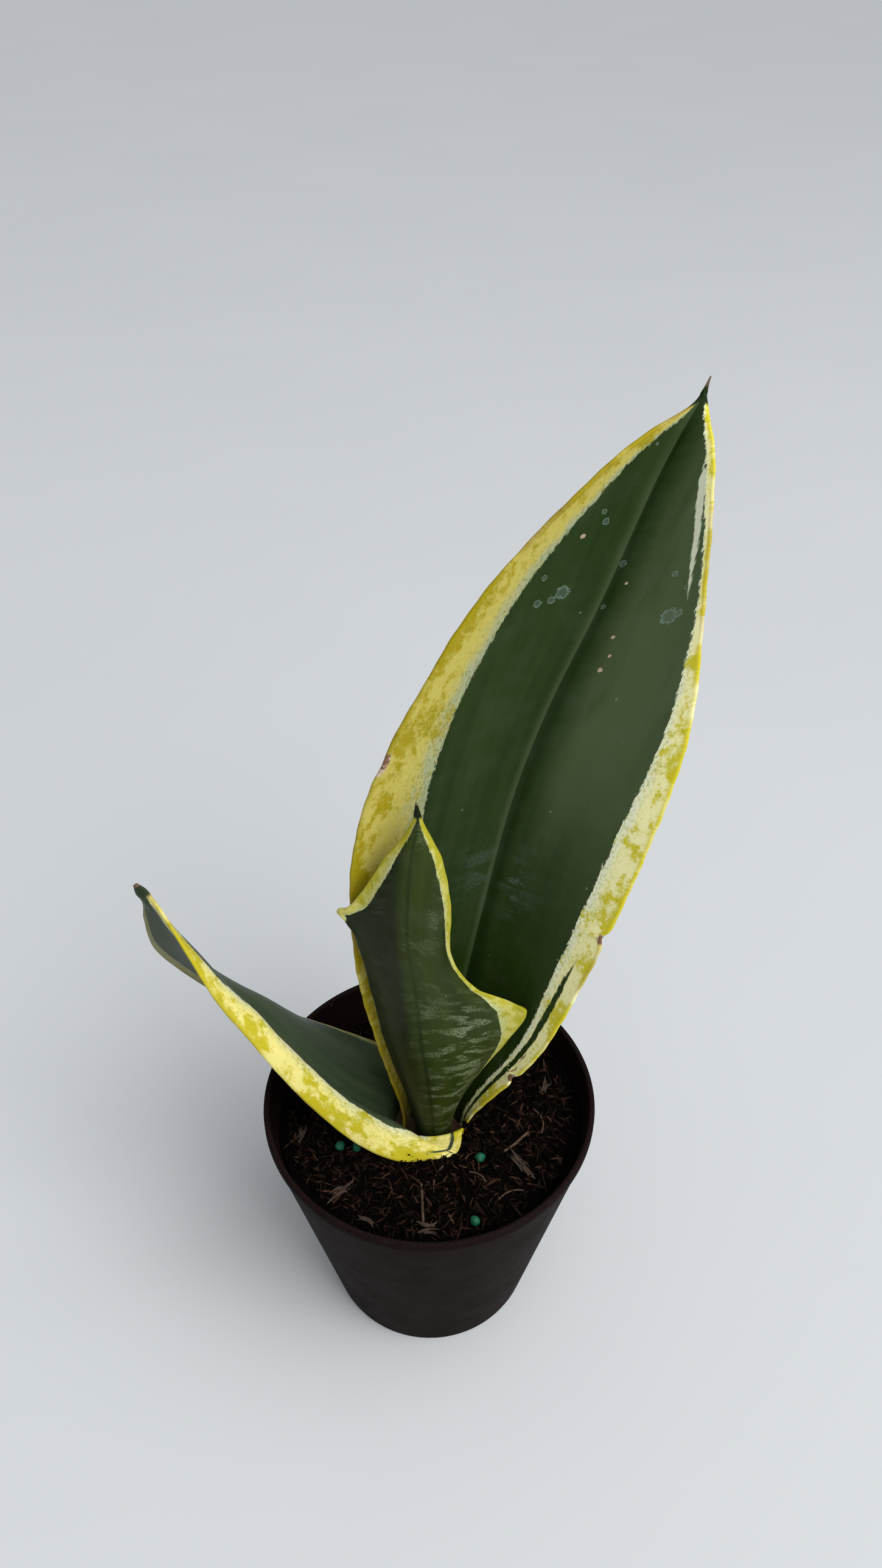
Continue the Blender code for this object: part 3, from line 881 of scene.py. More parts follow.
    def _marked(self, skin: LeafSkin, colour: Socket, drops: Sockets) -> Socket:
        """Return a colour with dried drops and specks over it, scattered ones and placed ones.

        Args:
            skin: What the leaf's mesh says, with its patterns.
            colour: The colour so far.
            drops: The scattered drops.

        Returns:
            The colour after that.
        """
        g = skin.graph
        small = skin.spots(0.8, 0.20, 0.075, 0.30 * self.marks)
        specks = skin.spots(0.5, 0.12, 0.055, 0.09 * self.marks)
        drop = g.most(g.times(drops["Ring"], 0.42), g.times(small["Disc"], 0.36))
        speck = g.times(specks["Disc"], 0.85)
        for place in self.drops:
            mark = skin.mark(*place)
            whole = g.most(g.times(mark["Disc"], 0.25), mark["Ring"])
            drop = g.most(drop, g.times(whole, 0.65))
        for place in self.specks:
            speck = g.most(speck, skin.mark(*place)["Disc"])
        return g.mix(speck, g.mix(drop, colour, DROP_GREY), SPECK_TAN)


OUTSIDE = -9.0


def run_along(points: np.ndarray) -> np.ndarray:
    """Return how far along a line of points each one lies."""
    return np.concatenate([[0], np.cumsum(np.linalg.norm(np.diff(points, axis=0), axis=1))])


@dataclass(frozen=True)
class Patch:
    """A patch of strong cross bars: its middle and reach in stations and in share of the half."""

    side: Side
    station: float
    stations: float
    share: float
    shares: float
    strength: float


@dataclass
class Leaf:
    """One leaf: its sections, scars, streaks and finish."""

    node: str
    name: str
    stations: Sequence[Station]
    finish: LeafFinish
    steps: int
    scars: Sequence[Scar] = ()
    pale: Sequence[Streak] = ()
    dark: Sequence[Streak] = ()
    creases: Sequence[Streak] = ()
    patches: Sequence[Patch] = ()
    groove_mm: float = 0.2
    rim_mm: float = 0.0
    half_columns: int = 24
    edge_points: int = 5
    edge_mm: float = 1.2
    ripple_mm: float = 0.12
    taper_mm: float = 6.0
    scar_mm: float = 1.4
    half_groove_mm: float = 1.1
    half_rim_mm: float = 0.9
    crown_z: float = 0.077

    def build(self, effects: Effects) -> Item:
        """Return the finished leaf, settled in the frame.

        Args:
            effects: The shared effects.

        Returns:
            The piece.
        """
        piece = add_piece(self.name, self._mesh(), self.finish.build(effects))
        settle(piece, "leaf", self.node)
        return piece

    def _rows(self) -> np.ndarray:
        """Return the smooth run of stations, sizes in metres.

        Returns:
            One row of numbers for each step.
        """
        return smooth_rows([
            (*s.left, *s.midrib, *s.right, *s.bulges, s.thick, *s.bands) for s in self.stations
        ], self.steps) * MM

    def _nick(self, edge: np.ndarray, midrib: np.ndarray, side: Side) -> tuple[np.ndarray, np.ndarray]:
        """Pull a margin in at its scars and ripple it slightly.

        Args:
            edge: The margin's points, one per row.
            midrib: The midrib's points.
            side: Which margin it is.

        Returns:
            The margin after that, and how scarred each row is, from 0 to 1.
        """
        run = run_along(edge)
        station = np.arange(len(edge)) / self.steps
        pull = np.zeros(len(edge))
        scarred = np.zeros(len(edge))
        for scar in self.scars:
            if scar.side is not side:
                continue
            centre = np.interp(scar.station, station, run)
            bump = np.exp(-((run - centre) / (scar.half_mm * MM)) ** 2)
            jag = 1 + (0.35 if scar.healed else 0.06) * np.sin(run / MM * 5.0 + scar.station)
            pull += bump * jag * scar.depth_mm * MM
            if scar.healed:
                scarred = np.maximum(scarred, bump)
        phase = 1.0 + side.value
        ripple = np.sin(run / MM * 0.9 + phase) + np.sin(run / MM * 0.37 + 2 * phase)
        width = np.linalg.norm(edge - midrib, axis=1)
        fade = np.clip(width / (self.taper_mm * MM), 0, 1)
        pull += ripple * self.ripple_mm * MM * 0.5 * fade
        return edge + unit(midrib - edge) * pull[:, None] * fade[:, None], scarred

    def _stripe(
        self, streaks: Sequence[Streak], side: Side, margin: np.ndarray, station: np.ndarray,
    ) -> np.ndarray:
        """Return how far inside a streak each row lies, in millimetres, below 0 outside.

        Args:
            streaks: The streaks.
            side: The side that the column is on.
            margin: Each row's distance from the margin, in metres.
            station: Each row's station.

        Returns:
            The depth of each row.
        """
        depth = np.full(margin.shape, OUTSIDE)
        for streak in streaks:
            if streak.side is side:
                at, centre, half = np.array(streak.course).T
                middle = np.interp(station, at, centre)
                width = np.interp(station, at, half, left=OUTSIDE, right=OUTSIDE)
                depth = np.maximum(depth, width - np.abs(margin / MM - middle))
        return depth

    def _mesh(self) -> Mesh:
        """Return the closed leaf mesh with the attributes that its material reads.

        Returns:
            The leaf's mesh.
        """
        rows = self._rows()
        midrib, thick = rows[:, MIDRIB], rows[:, THICK][:, None]
        left, left_scar = self._nick(rows[:, LEFT_EDGE], midrib, Side.LEFT)
        right, right_scar = self._nick(rows[:, RIGHT_EDGE], midrib, Side.RIGHT)
        growth = unit(np.gradient(midrib, axis=0))
        columns, told = [], []
        for column in range(-self.half_columns, self.half_columns + 1):
            share = 1 - (1 - abs(column) / self.half_columns) ** 1.35
            if column < 0:
                points, facts = self._column(rows, left, left_scar, growth, Side.LEFT, share)
            else:
                points, facts = self._column(rows, right, right_scar, growth, Side.RIGHT, share)
            columns.append(points)
            told.append(facts)
        grid = np.stack(columns, axis=1)
        facts = {key: np.stack([column[key] for column in told], axis=1) for key in told[0]}
        normals = unit(np.cross(np.gradient(grid, axis=1), np.gradient(grid, axis=0)))
        straight = unit(np.cross(right - left, growth))[:, None]
        flatness = np.linalg.norm(right - left, axis=1)[:, None] / thick
        fade = np.clip(flatness / 4 - 0.5, 0, 1)
        follow = fade[..., None]
        normals = unit(normals * follow + straight * (1 - follow))
        edge_thick = np.minimum(self.edge_mm * MM, 0.5 * thick)
        half_thick = (edge_thick + (thick - edge_thick) * (1 - facts["share"] ** 1.5)) / 2
        half_thick += self.rim_mm * MM * np.exp(-(facts["margin"] / self.half_rim_mm) ** 2) * fade
        groove = self.groove_mm * MM * np.exp(-(facts["across"] / self.half_groove_mm) ** 2) * fade
        return self._close(grid, normals, half_thick[..., None], groove[..., None], facts)

    def _column(
        self, rows: np.ndarray, edge: np.ndarray, scar: np.ndarray, growth: np.ndarray, side: Side,
        share: float,
    ) -> tuple[np.ndarray, dict[str, np.ndarray]]:
        """Run one column of points from the leaf's foot to its tip.

        Args:
            rows: The smooth run of stations.
            edge: The margin on this side, nicks and all.
            scar: How scarred each row is.
            growth: The direction of growth at each row.
            side: The column's side.
            share: How far out it lies, from 0 at the midrib to 1 at the margin.

        Returns:
            The column's points, and what the material needs to know there.
        """
        midrib = rows[:, MIDRIB]
        sign = -1 if side is Side.LEFT else 1
        inward = unit(np.cross(sign * (edge - midrib), growth))
        bow = 4 * share * (1 - share) * rows[:, BULGE + side.value]
        points = midrib + (edge - midrib) * share - inward * bow[:, None]
        run = run_along(midrib)
        station = np.arange(len(rows)) / self.steps
        width = np.linalg.norm(edge - midrib, axis=1)
        clean_edge = rows[:, LEFT_EDGE if side is Side.LEFT else RIGHT_EDGE]
        whole = np.linalg.norm(clean_edge - midrib, axis=1)
        margin = (1 - share) * width
        from_whole = np.maximum(whole, width) - share * width
        return points, {
            "across": sign * share * width / MM,
            "along": run / MM,
            "margin": margin / MM,
            "band": (np.maximum(rows[:, BAND + side.value], 0) - (from_whole - margin)) / MM,
            "pale": self._stripe(self.pale, side, from_whole, station),
            "dark": self._stripe(self.dark, side, from_whole, station),
            "scar": scar * np.clip(1 - margin / (self.scar_mm * MM), 0, 1),
            "from_tip": (run[-1] - run) / MM,
            "share": np.full(len(rows), share),
            "crease": self._stripe(self.creases, side, margin, station),
            "bars": self._barred(side, share, station),
        }

    def _barred(self, side: Side, share: float, station: np.ndarray) -> np.ndarray:
        """Return how strongly each row of one column is barred.

        Args:
            side: The column's side.
            share: How far out the column lies.
            station: Each row's station.

        Returns:
            The strength at each row.
        """
        total = np.zeros(len(station))
        for patch in self.patches:
            if patch.side is side:
                off = ((station - patch.station) / patch.stations) ** 2
                off += ((share - patch.share) / patch.shares) ** 2
                total += patch.strength * np.exp(-off)
        return total

    def _close(
        self, grid: np.ndarray, normals: np.ndarray, half: np.ndarray, groove: np.ndarray,
        facts: dict[str, np.ndarray],
    ) -> Mesh:
        """Wrap the middle surface into a closed leaf with round margins.

        Args:
            grid: The middle surface, rows by columns.
            normals: Its inner normals.
            half: Half the thickness at each point.
            groove: How far the inner face is sunk at each point.
            facts: What the material needs to know at each point.

        Returns:
            The leaf's mesh.
        """
        def margin_arc(column: int, beside: int, turn: int) -> list[np.ndarray]:
            """Return the points that round one margin off, from one face to the other.

            Args:
                column: The margin's column.
                beside: The column next to it.
                turn: Which way the arc turns, 1 or -1.

            Returns:
                The arc, one array of points for each step.
            """
            out = unit(grid[:, column] - grid[:, beside])
            arc = []
            for step in range(1, self.edge_points + 1):
                angle = math.pi * (step / (self.edge_points + 1) - 0.5) * turn
                offset = out * math.cos(angle) + normals[:, column] * math.sin(angle)
                arc.append(grid[:, column] + offset * half[:, column])
            return arc

        inner = grid + normals * (half - groove)
        outer = grid - normals * half
        right_arc = np.stack(margin_arc(-1, -2, -1), axis=1)
        left_arc = np.stack(margin_arc(0, 1, 1), axis=1)
        rings = np.concatenate([inner, right_arc, outer[:, ::-1], left_arc], axis=1)
        rings[0, :, 2] = self.stations[0].midrib[2] * MM
        rings[..., 2] += self.crown_z
        across = grid.shape[1]
        points = self.edge_points
        pick = [*range(across), *[across - 1] * points, *range(across - 1, -1, -1), *[0] * points]
        faced = {key: values[:, pick] for key, values in facts.items()}
        face = np.array([1.0] * across + [0.0] * points + [-1.0] * across + [0.0] * points)
        face = np.broadcast_to(face, faced["across"].shape)
        place = np.stack([faced["across"], faced["along"], face], axis=-1)
        count, size = rings.shape[:2]
        faces = []
        for ring in range(count - 1):
            for point in range(size):
                low, after = ring * size + point, ring * size + (point + 1) % size
                faces.append((low, after, after + size, low + size))
        back = 2 * across + points - 1
        for base in (0, (count - 1) * size):
            for column in range(across - 1):
                strip = (column, column + 1, back - column - 1, back - column)
                faces.append(tuple(base + point for point in strip))
            faces.append(tuple(base + point for point in range(across - 1, across + points + 1)))
            faces.append((base, *(base + point for point in range(back, size))))
        mesh = bpy.data.meshes.new(self.name)
        mesh.from_pydata(rings.reshape(-1, 3), [], faces)
        attribute = mesh.attributes.new("place", "FLOAT_VECTOR", "POINT")
        attribute.data.foreach_set("vector", place.reshape(-1).astype(np.float32))
        for label in ("margin", "band", "pale", "dark", "scar", "from_tip", "crease", "bars"):
            attribute = mesh.attributes.new(label, "FLOAT", "POINT")
            attribute.data.foreach_set("value", faced[label].reshape(-1).astype(np.float32))
        shape = opened(mesh)
        bmesh.ops.recalc_face_normals(shape, faces=shape.faces)
        return closed(shape, mesh)


TALL_STATIONS = (
    Station((-8, -2, -7), (1, 8, -7), (10.5, -3, -7), (3, 3), 4.4, (5, 3)),
    Station((-8.5, -2, 6), (3, 9, 7), (14, -5, 7), (3, 3), 4.2, (8, 3.8)),
    Station((-14, -2, 33), (9, 11, 37), (30.5, -8, 36), (2.5, 2.5), 3.8, (13, 6.4)),
    Station((-19, -2, 67), (15, 13, 73), (42.5, -7, 70), (2, 2), 3.4, (17, 8.2)),
    Station((-18.5, 0, 105), (22, 15, 111), (53.5, -4, 108), (1.5, 1.5), 3.0, (18, 8.0)),
    Station((-8, 4, 139), (30, 17, 139), (61, 1, 142), (1, 1), 2.6, (14, 5.2)),
    Station((13, 10, 174.5), (41, 19, 168), (62, 9, 173), (1, 1), 2.2, (8.6, 1.1)),
    Station((40, 18, 202), (51, 22.5, 196), (62, 18, 200), (0.6, 0.6), 2.0, (3.6, 1.4)),
    Station((56.5, 24.5, 211.5), (58.3, 25.3, 212), (60.3, 25, 211.5), (0, 0), 1.8, (0.9, 0.7)),
    Station((59.2, 26.0, 214.4), (59.7, 26.2, 214.5), (60.2, 26.2, 214.5), (0, 0), 0.9, (0, 0)),
    Station((60.7, 27, 217.3), (60.8, 27, 217.3), (60.9, 27, 217.3), (0, 0), 0.2, (0, 0)),
)
YOUNG_STATIONS = (
    Station((5.5, -1, -7), (1, -8, -7), (-3.5, -1, -7), (2.2, 2.2), 3.4, (0.3, 0)),
    Station((7.5, -2, 7), (1, -9, 8), (-5, -2, 7), (2.2, 2.2), 3.4, (0.3, 0)),
    Station((14.5, -4, 26), (0, -11, 28), (-8.5, -4, 25), (2, 2), 3.2, (0.4, 0)),
    Station((22, -4, 40), (-2, -12.5, 48), (-12, -5, 43), (1, 2), 3.0, (2.5, 0)),
    Station((26, -3, 50.5), (-3, -13, 62), (-14.5, -5.5, 61), (0, 2), 2.8, (9, 0)),
    Station((13.0, -5, 60.5), (-4, -13, 75), (-17, -6, 78), (1, 1.5), 2.6, (2.6, -5.0)),
    Station((5.4, -6, 75), (-5, -12, 88), (-21.5, -5, 91), (2, 0), 2.4, (2.0, 1.6)),
    Station((5, -6, 95), (-5, -10, 100), (-17.5, -5, 95.5), (1, 1), 2.2, (2.0, 4.2)),
    Station((2.5, -4.5, 110), (-4, -6.5, 111), (-9.5, -4, 109), (1, 1), 2.0, (1.8, 3.0)),
    Station((-1.2, -2.4, 119), (-2.2, -2.8, 119.5), (-3.4, -2.4, 119), (0, 0), 2.2, (0.6, 0.6)),
    Station((-1.8, -1.8, 121.5), (-2.3, -1.9, 121.6), (-2.9, -1.8, 121.5), (0, 0), 1.2, (0, 0)),
    Station((-2.4, -1, 124.2), (-2.55, -1, 124.2), (-2.7, -1, 124.2), (0, 0), 0.3, (0, 0)),
)
SIDE_STATIONS = (
    Station((9.5, -7.5, -7), (-11, -5, -7), (1, 13, -7), (5, 5.5), 1.8, (14, 0.6)),
    Station((9.8, -8.5, 1.5), (-12, -5.5, -3.5), (0.5, 13.5, -2), (4.5, 5), 1.8, (13.5, 0.6)),
    Station((9.4, -11.6, 6.0), (-13.5, -6, 0.5), (-1, 14.5, 3), (3, 4.5), 1.8, (12.5, 0.7)),
    Station((7.6, -15.6, 1.4), (-16, -6, 4), (-4, 15, 6.5), (0.5, 4), 2.0, (11.5, 0.7)),
    Station((1, -17.2, 1), (-20, -6, 8), (-9, 15.5, 9.5), (-2, 3), 2.4, (10.8, 0.8)),
    Station((-9, -17.5, 0.8), (-25, -6, 13), (-15, 16, 12), (-3.5, 2), 2.8, (11, 0.8)),
    Station((-20, -16.5, 7), (-31, -5.5, 21), (-23, 16.5, 16), (-4, 1), 3.0, (11.5, 0.8)),
    Station((-31, -14.5, 19), (-38, -4, 30), (-32, 16.5, 21), (-4, -1), 2.8, (10.5, 0.8)),
    Station((-41, -12, 33), (-45, -2, 39), (-41, 16.5, 25.5), (-3.5, -3), 2.6, (8.5, 1.0)),
    Station((-50, -8, 46), (-51, 1, 45), (-50, 16, 30), (-3, -4), 2.6, (6.5, 2.6)),
    Station((-58, -4, 57), (-58, 4, 53), (-60, 16.5, 35), (-2, -3), 2.4, (4.5, 4.6)),
    Station((-65, 2, 68), (-65, 8, 61), (-71, 18, 43.5), (-1, -1), 2.2, (3, 5.0)),
    Station((-70, 7, 74.5), (-71.5, 11, 70), (-79, 18, 55), (0, 0), 2.0, (2.2, 4.6)),
    Station((-73.5, 10.5, 78.5), (-75, 12.8, 76), (-79.5, 16, 69), (0, 0), 2.0, (1.5, 2.6)),
    Station((-74.9, 11.2, 80.6), (-76.2, 12.2, 79.6), (-77.8, 13.0, 78.4), (0, 0), 2.6, (0.5, 0.3)),
    Station((-76.6, 12.3, 83.1), (-77.7, 12.8, 82.4), (-79.1, 13.1, 81.5), (0, 0), 2.2, (0, 0)),
    Station((-78.6, 12.9, 85.0), (-79.0, 13.0, 84.8), (-79.6, 13.1, 84.4), (0, 0), 1.0, (0, 0)),
)


def leaves() -> list[Leaf]:
    """Return the three leaves of the plant.

    Returns:
        The leaves, ready to build.
    """
    tall = LeafFinish(
        "leaf_green_tall", deep=(0.0090, 0.0225, 0.0020), mid=(0.0165, 0.0365, 0.0036),
        light=(0.026, 0.047, 0.008), bars=(0.085, 0.115, 0.095), cross_inner=0.05, cross_outer=0.45,
        ragged_mm=1.8, mucro_mm=6.2, dry_mm=2.6, marks=1.0, right_lean=-0.015, right_painted_sheen=0.90,
        groove_light_shade=0.80,
        drops=(
            (-11, 182, 1.5), (-13, 180, 0.9), (17.5, 177, 1.8), (19.3, 177.8, 0.9), (1, 179, 0.6),
            (1, 190, 0.8), (-16, 179, 0.9), (-8, 199, 0.8), (-9.5, 201, 0.6), (14.5, 187, 0.7),
            (-17, 185, 0.6),
        ),
        specks=((-12, 195, 0.6), (4, 185, 0.4), (8, 162, 0.6), (7, 171, 0.45), (8.5, 166, 0.4)),
    )
    young = LeafFinish(
        "leaf_green_young", deep=(0.0070, 0.0120, 0.0025), mid=(0.0190, 0.0320, 0.0035),
        light=(0.042, 0.058, 0.008), bars=(0.260, 0.310, 0.180), cross_inner=0.10, cross_outer=0.25,
        ragged_mm=1.0, mucro_mm=4.2, dry_mm=0.8, marks=0.3, right_shade=0.85, lined=0.35, lean=0.03,
        left_band=LIME, right_band=LIME,
    )
    side = LeafFinish(
        "leaf_green_side", deep=(0.021, 0.036, 0.015), mid=(0.034, 0.052, 0.024),
        light=(0.058, 0.077, 0.040), bars=(0.085, 0.110, 0.070), cross_inner=0.08, cross_outer=0.35,
        ragged_mm=1.4, mucro_mm=4.5, dry_mm=0.8, marks=0.4, lean=0.015, left_band=BUTTER,
        right_band=FAR_BAND_SHADED,
    )
    return [
        Leaf(
            "leaf_tall", "blade_tall", TALL_STATIONS, tall, 30,
            scars=(
                Scar(Side.RIGHT, 3.30, 2.2, 1.3), Scar(Side.RIGHT, 1.66, 1.8, 1.2),
                Scar(Side.LEFT, 4.82, 4.0, 0.6), Scar(Side.LEFT, 5.35, 14.0, 0.9, False),
            ),
            pale=(Streak(Side.RIGHT, (
                (5.95, 3.6, 0.0), (6.15, 3.3, 0.35), (6.4, 2.9, 0.65), (6.7, 2.5, 0.85),
                (6.95, 2.1, 0.8), (7.1, 1.8, 0.0),
            )),),
            dark=(Streak(Side.RIGHT, (
                (0.3, 1.6, 0.4), (1.0, 2.0, 0.5), (1.46, 3.2, 0.7), (1.86, 3.8, 0.8), (2.36, 4.2, 0.95),
                (2.8, 4.4, 0.8), (3.1, 4.2, 0.0),
            )),),
            patches=(
                Patch(Side.RIGHT, 3.35, 0.22, 0.15, 0.20, 1.0),
                Patch(Side.LEFT, 3.45, 0.20, 0.10, 0.15, 0.7),
                Patch(Side.RIGHT, 6.4, 1.0, 0.4, 0.4, 0.20),
            ),
            creases=(Streak(Side.RIGHT, ((1.66, 1.2, 0.3), (2.0, 3.0, 0.25), (2.25, 3.4, 0.1))),),
            groove_mm=0.7,
        ),
        Leaf(
            "leaf_young", "blade_young", YOUNG_STATIONS, young, 16, rim_mm=0.45,
            patches=(
                Patch(Side.LEFT, 1.9, 1.2, 0.5, 0.45, 0.95),
                Patch(Side.LEFT, 3.6, 0.6, 0.45, 0.4, 0.55),
                Patch(Side.RIGHT, 4.4, 0.8, 0.65, 0.3, 0.50),
                Patch(Side.RIGHT, 6.6, 0.5, 0.6, 0.3, 0.35),
            ),
            scars=(
                Scar(Side.RIGHT, 5.50, 4.5, 1.6, False), Scar(Side.RIGHT, 6.02, 0.95, -1.7, False),
                Scar(Side.RIGHT, 6.35, 2.4, 1.0, False), Scar(Side.LEFT, 4.02, 1.3, -0.6, False),
            ),
        ),
        Leaf(
            "leaf_side", "blade_side", SIDE_STATIONS, side, 14,
            dark=(Streak(Side.LEFT, (
                (1.6, 2.6, 0.5), (2.6, 2.4, 0.6), (3.6, 2.2, 0.5), (4.4, 1.8, 0.0),
            )),),
            creases=(Streak(Side.LEFT, ((3.05, 0.0, 0.9), (3.2, 4.0, 0.9), (3.35, 8.0, 0.5))),),
        ),
    ]


# ------------------------------------------------------------------ pot
@dataclass
class Pot:
    """The thin nursery pot: one turned shell with drain holes in its floor."""

    rim_radius: float
    height: float
    base_radius: float = 0.033
    wall: float = 0.0012
    floor: float = 0.0016
    lip_height: float = 0.0030
    lip_proud: float = 0.0006
    foot_chamfer: float = 0.0008
    drains: int = 8
    drain_radius: float = 0.0028
    drain_inset: float = 0.0085
    drain_sides: int = 28
    fillet: float = 0.0010
    crease_degrees: float = 50.0
    turns: int = 180

    def profile(self) -> list[tuple[float, float]]:
        """Return the pot's section: up the inside, over the lip and down the outside.

        Returns:
            Radius and height of each point.
        """
        lip_half = (self.lip_proud + self.wall) / 2
        lip_middle = self.rim_radius - lip_half
        foot = self.base_radius - self.wall
        inside = self.rim_radius - self.lip_proud - self.wall
        at_floor = foot + (inside - foot) * self.floor / self.height
        section = [
            (0.0, self.floor),
            (at_floor - self.fillet, self.floor),
            (at_floor - 0.3 * self.fillet, self.floor + 0.3 * self.fillet),
            (at_floor + 0.02 * self.fillet, self.floor + self.fillet),
        ]
        for turn in range(180, -1, -15):
            angle = math.radians(turn)
            section.append((
                lip_middle + lip_half * math.cos(angle),
                self.height - lip_half + lip_half * math.sin(angle),
            ))
        under = self.height - self.lip_height
        section += [
            (self.rim_radius, under + 0.0004),
            (self.rim_radius - 0.00012, under + 0.0001),
            (self.rim_radius - self.lip_proud + 0.00008, under - self.lip_proud * 0.8),
            (self.rim_radius - self.lip_proud - 0.00002, under - self.lip_proud * 1.3),
            (self.base_radius + 0.0001, self.foot_chamfer + 0.0006),
            (self.base_radius - 0.0002, self.foot_chamfer * 0.55),
            (self.base_radius - self.foot_chamfer, 0.0),
            (0.0, 0.0),
        ]
        return section

    def shell(self) -> Mesh:
        """Return the pot's mesh with its drain holes.

        Returns:
            The mesh.
        """
        section = self.profile()
        mesh = bpy.data.meshes.new("pot_section")
        edges = [(i, i + 1) for i in range(len(section) - 1)]
        mesh.from_pydata([(r, 0.0, z) for r, z in section], edges, [])
        blank = linked("pot_section", mesh)
        screw = blank.modifiers.new("turn", "SCREW")
        screw.steps = screw.render_steps = self.turns
        screw.use_merge_vertices = True
        screw.merge_threshold = 10 * MERGE
        turned = baked_mesh(blank, "pot_shell")
        shape = opened(turned)
        bmesh.ops.remove_doubles(shape, verts=shape.verts, dist=MERGE)
        bmesh.ops.recalc_face_normals(shape, faces=shape.faces)
        return self._drained(closed(shape, turned))

    def _drained(self, turned: Mesh) -> Mesh:
        """Cut the drain holes through the floor and return the mesh.

        Args:
            turned: The pot before its holes are cut.

        Returns:
            The mesh.
        """
        shape = bmesh.new()
        ring = self.base_radius - self.drain_inset
        for index in range(self.drains):
            made = bmesh.ops.create_cone(
                shape, cap_ends=True, segments=self.drain_sides, radius1=self.drain_radius,
                radius2=self.drain_radius, depth=4 * self.floor,
            )
            angle = 2 * math.pi * (index + 0.5) / self.drains
            offset = (ring * math.cos(angle), ring * math.sin(angle), self.floor / 2)
            bmesh.ops.translate(shape, verts=made["verts"], vec=offset)
        drill = linked("drain_drill", closed(shape, "drain_drill"))
        body = linked("pot_body", turned)
        cut = body.modifiers.new("drains", "BOOLEAN")
        cut.operation = "DIFFERENCE"
        cut.solver = "EXACT"
        cut.object = drill
        mesh = baked_mesh(body, "pot_shell")
        bpy.data.objects.remove(drill, do_unlink=True)
        return mesh

    def material(self, effects: Effects) -> Material:
        """Return matt black moulded plastic, faintly dusty, scuffed along its lip.

        Args:
            effects: The shared effects.

        Returns:
            The material.
        """
        finish = Finish("pot_black_plastic", roughness=0.45, specular=0.014)
        g, place, grain = finish.grained(effects, 0.12, 2.2)
        film = g.group(effects.dust, {"Place": place, "Scale": 0.07, "Amount": 0.10})
        specks = g.group(effects.spots, {"Place": place, "Per Unit": 0.22, "Size": 0.09, "Share": 0.12})
        height = g.add("ShaderNodeSeparateXYZ", {0: place}).outputs[2]
        lip = g.step(height, self.height / MM - 1.6, self.height / MM - 0.1)
        cloudy = g.step(grain["Broad"], 0.3, 0.7)
        colour = g.mix(cloudy, (0.0085, 0.0044, 0.0036), (0.0105, 0.0056, 0.0047))
        colour = g.tint(colour, film["Film"], 0.25, (0.030, 0.025, 0.023))
        colour = g.tint(colour, specks["Disc"], 0.5, (0.070, 0.045, 0.030))
        worn = g.times(lip, g.step(grain["Fine"], 0.45, 0.62))
        finish.colour(g.tint(colour, worn, 0.3, (0.024, 0.023, 0.024)))
        rough = g.ramp(grain["Broad"], 0.18, 0.46)
        finish.roughness(g.plus(rough, film["Film"]))
        finish.relief(grain["Fine"], 0.04, 0.5)
        finish.relief(grain["Broad"], 0.25, 0.15)
        return finish.material

    def build(self, effects: Effects) -> None:
        """Build the pot and settle it in the frame.

        Args:
            effects: The shared effects.
        """
        piece = add_piece("pot_shell", self.shell(), self.material(effects))
        piece.data.set_sharp_from_angle(angle=math.radians(self.crease_degrees))
        settle(piece, "pot", "pot")


# ------------------------------------------------------------------ mix
class Grit(Enum):
    """The shapes that lie loose on the mix."""

    CRUMB = "crumb"
    SHRED = "shred"


@dataclass(frozen=True)
class Litter:
    """One kind of loose stuff on the mix, strewn at random.

    Sizes are the largest; each one is drawn between a part of it and the whole.
    """

    name: str
    grit: Grit
    per_square_mm: float
    size_mm: Point
    least: float
    tilt_degrees: float
    lift_mm: float
    seed: int
    rim_gap_mm: float


# Name, grit, number per mm2, size, least share, tilt, lift, seed and gap to the pot's wall.
LITTER = (
    Litter("mix_crumbs_fine", Grit.CRUMB, 1.15, (0.75, 0.60, 0.50), 0.45, 180, 0.10, 3, 0.9),
    Litter("mix_crumbs_coarse", Grit.CRUMB, 0.16, (1.45, 1.10, 0.95), 0.50, 180, 0.25, 11, 1.6),
    Litter("mix_shreds", Grit.SHRED, 0.26, (2.8, 0.46, 0.26), 0.35, 62, 0.45, 23, 2.4),
    Litter("mix_fibres", Grit.SHRED, 0.035, (3.4, 0.50, 0.30), 0.45, 40, 0.60, 57, 3.0),
    Litter("mix_hairs", Grit.SHRED, 0.06, (3.6, 0.13, 0.10), 0.50, 24, 0.70, 41, 3.4),
)


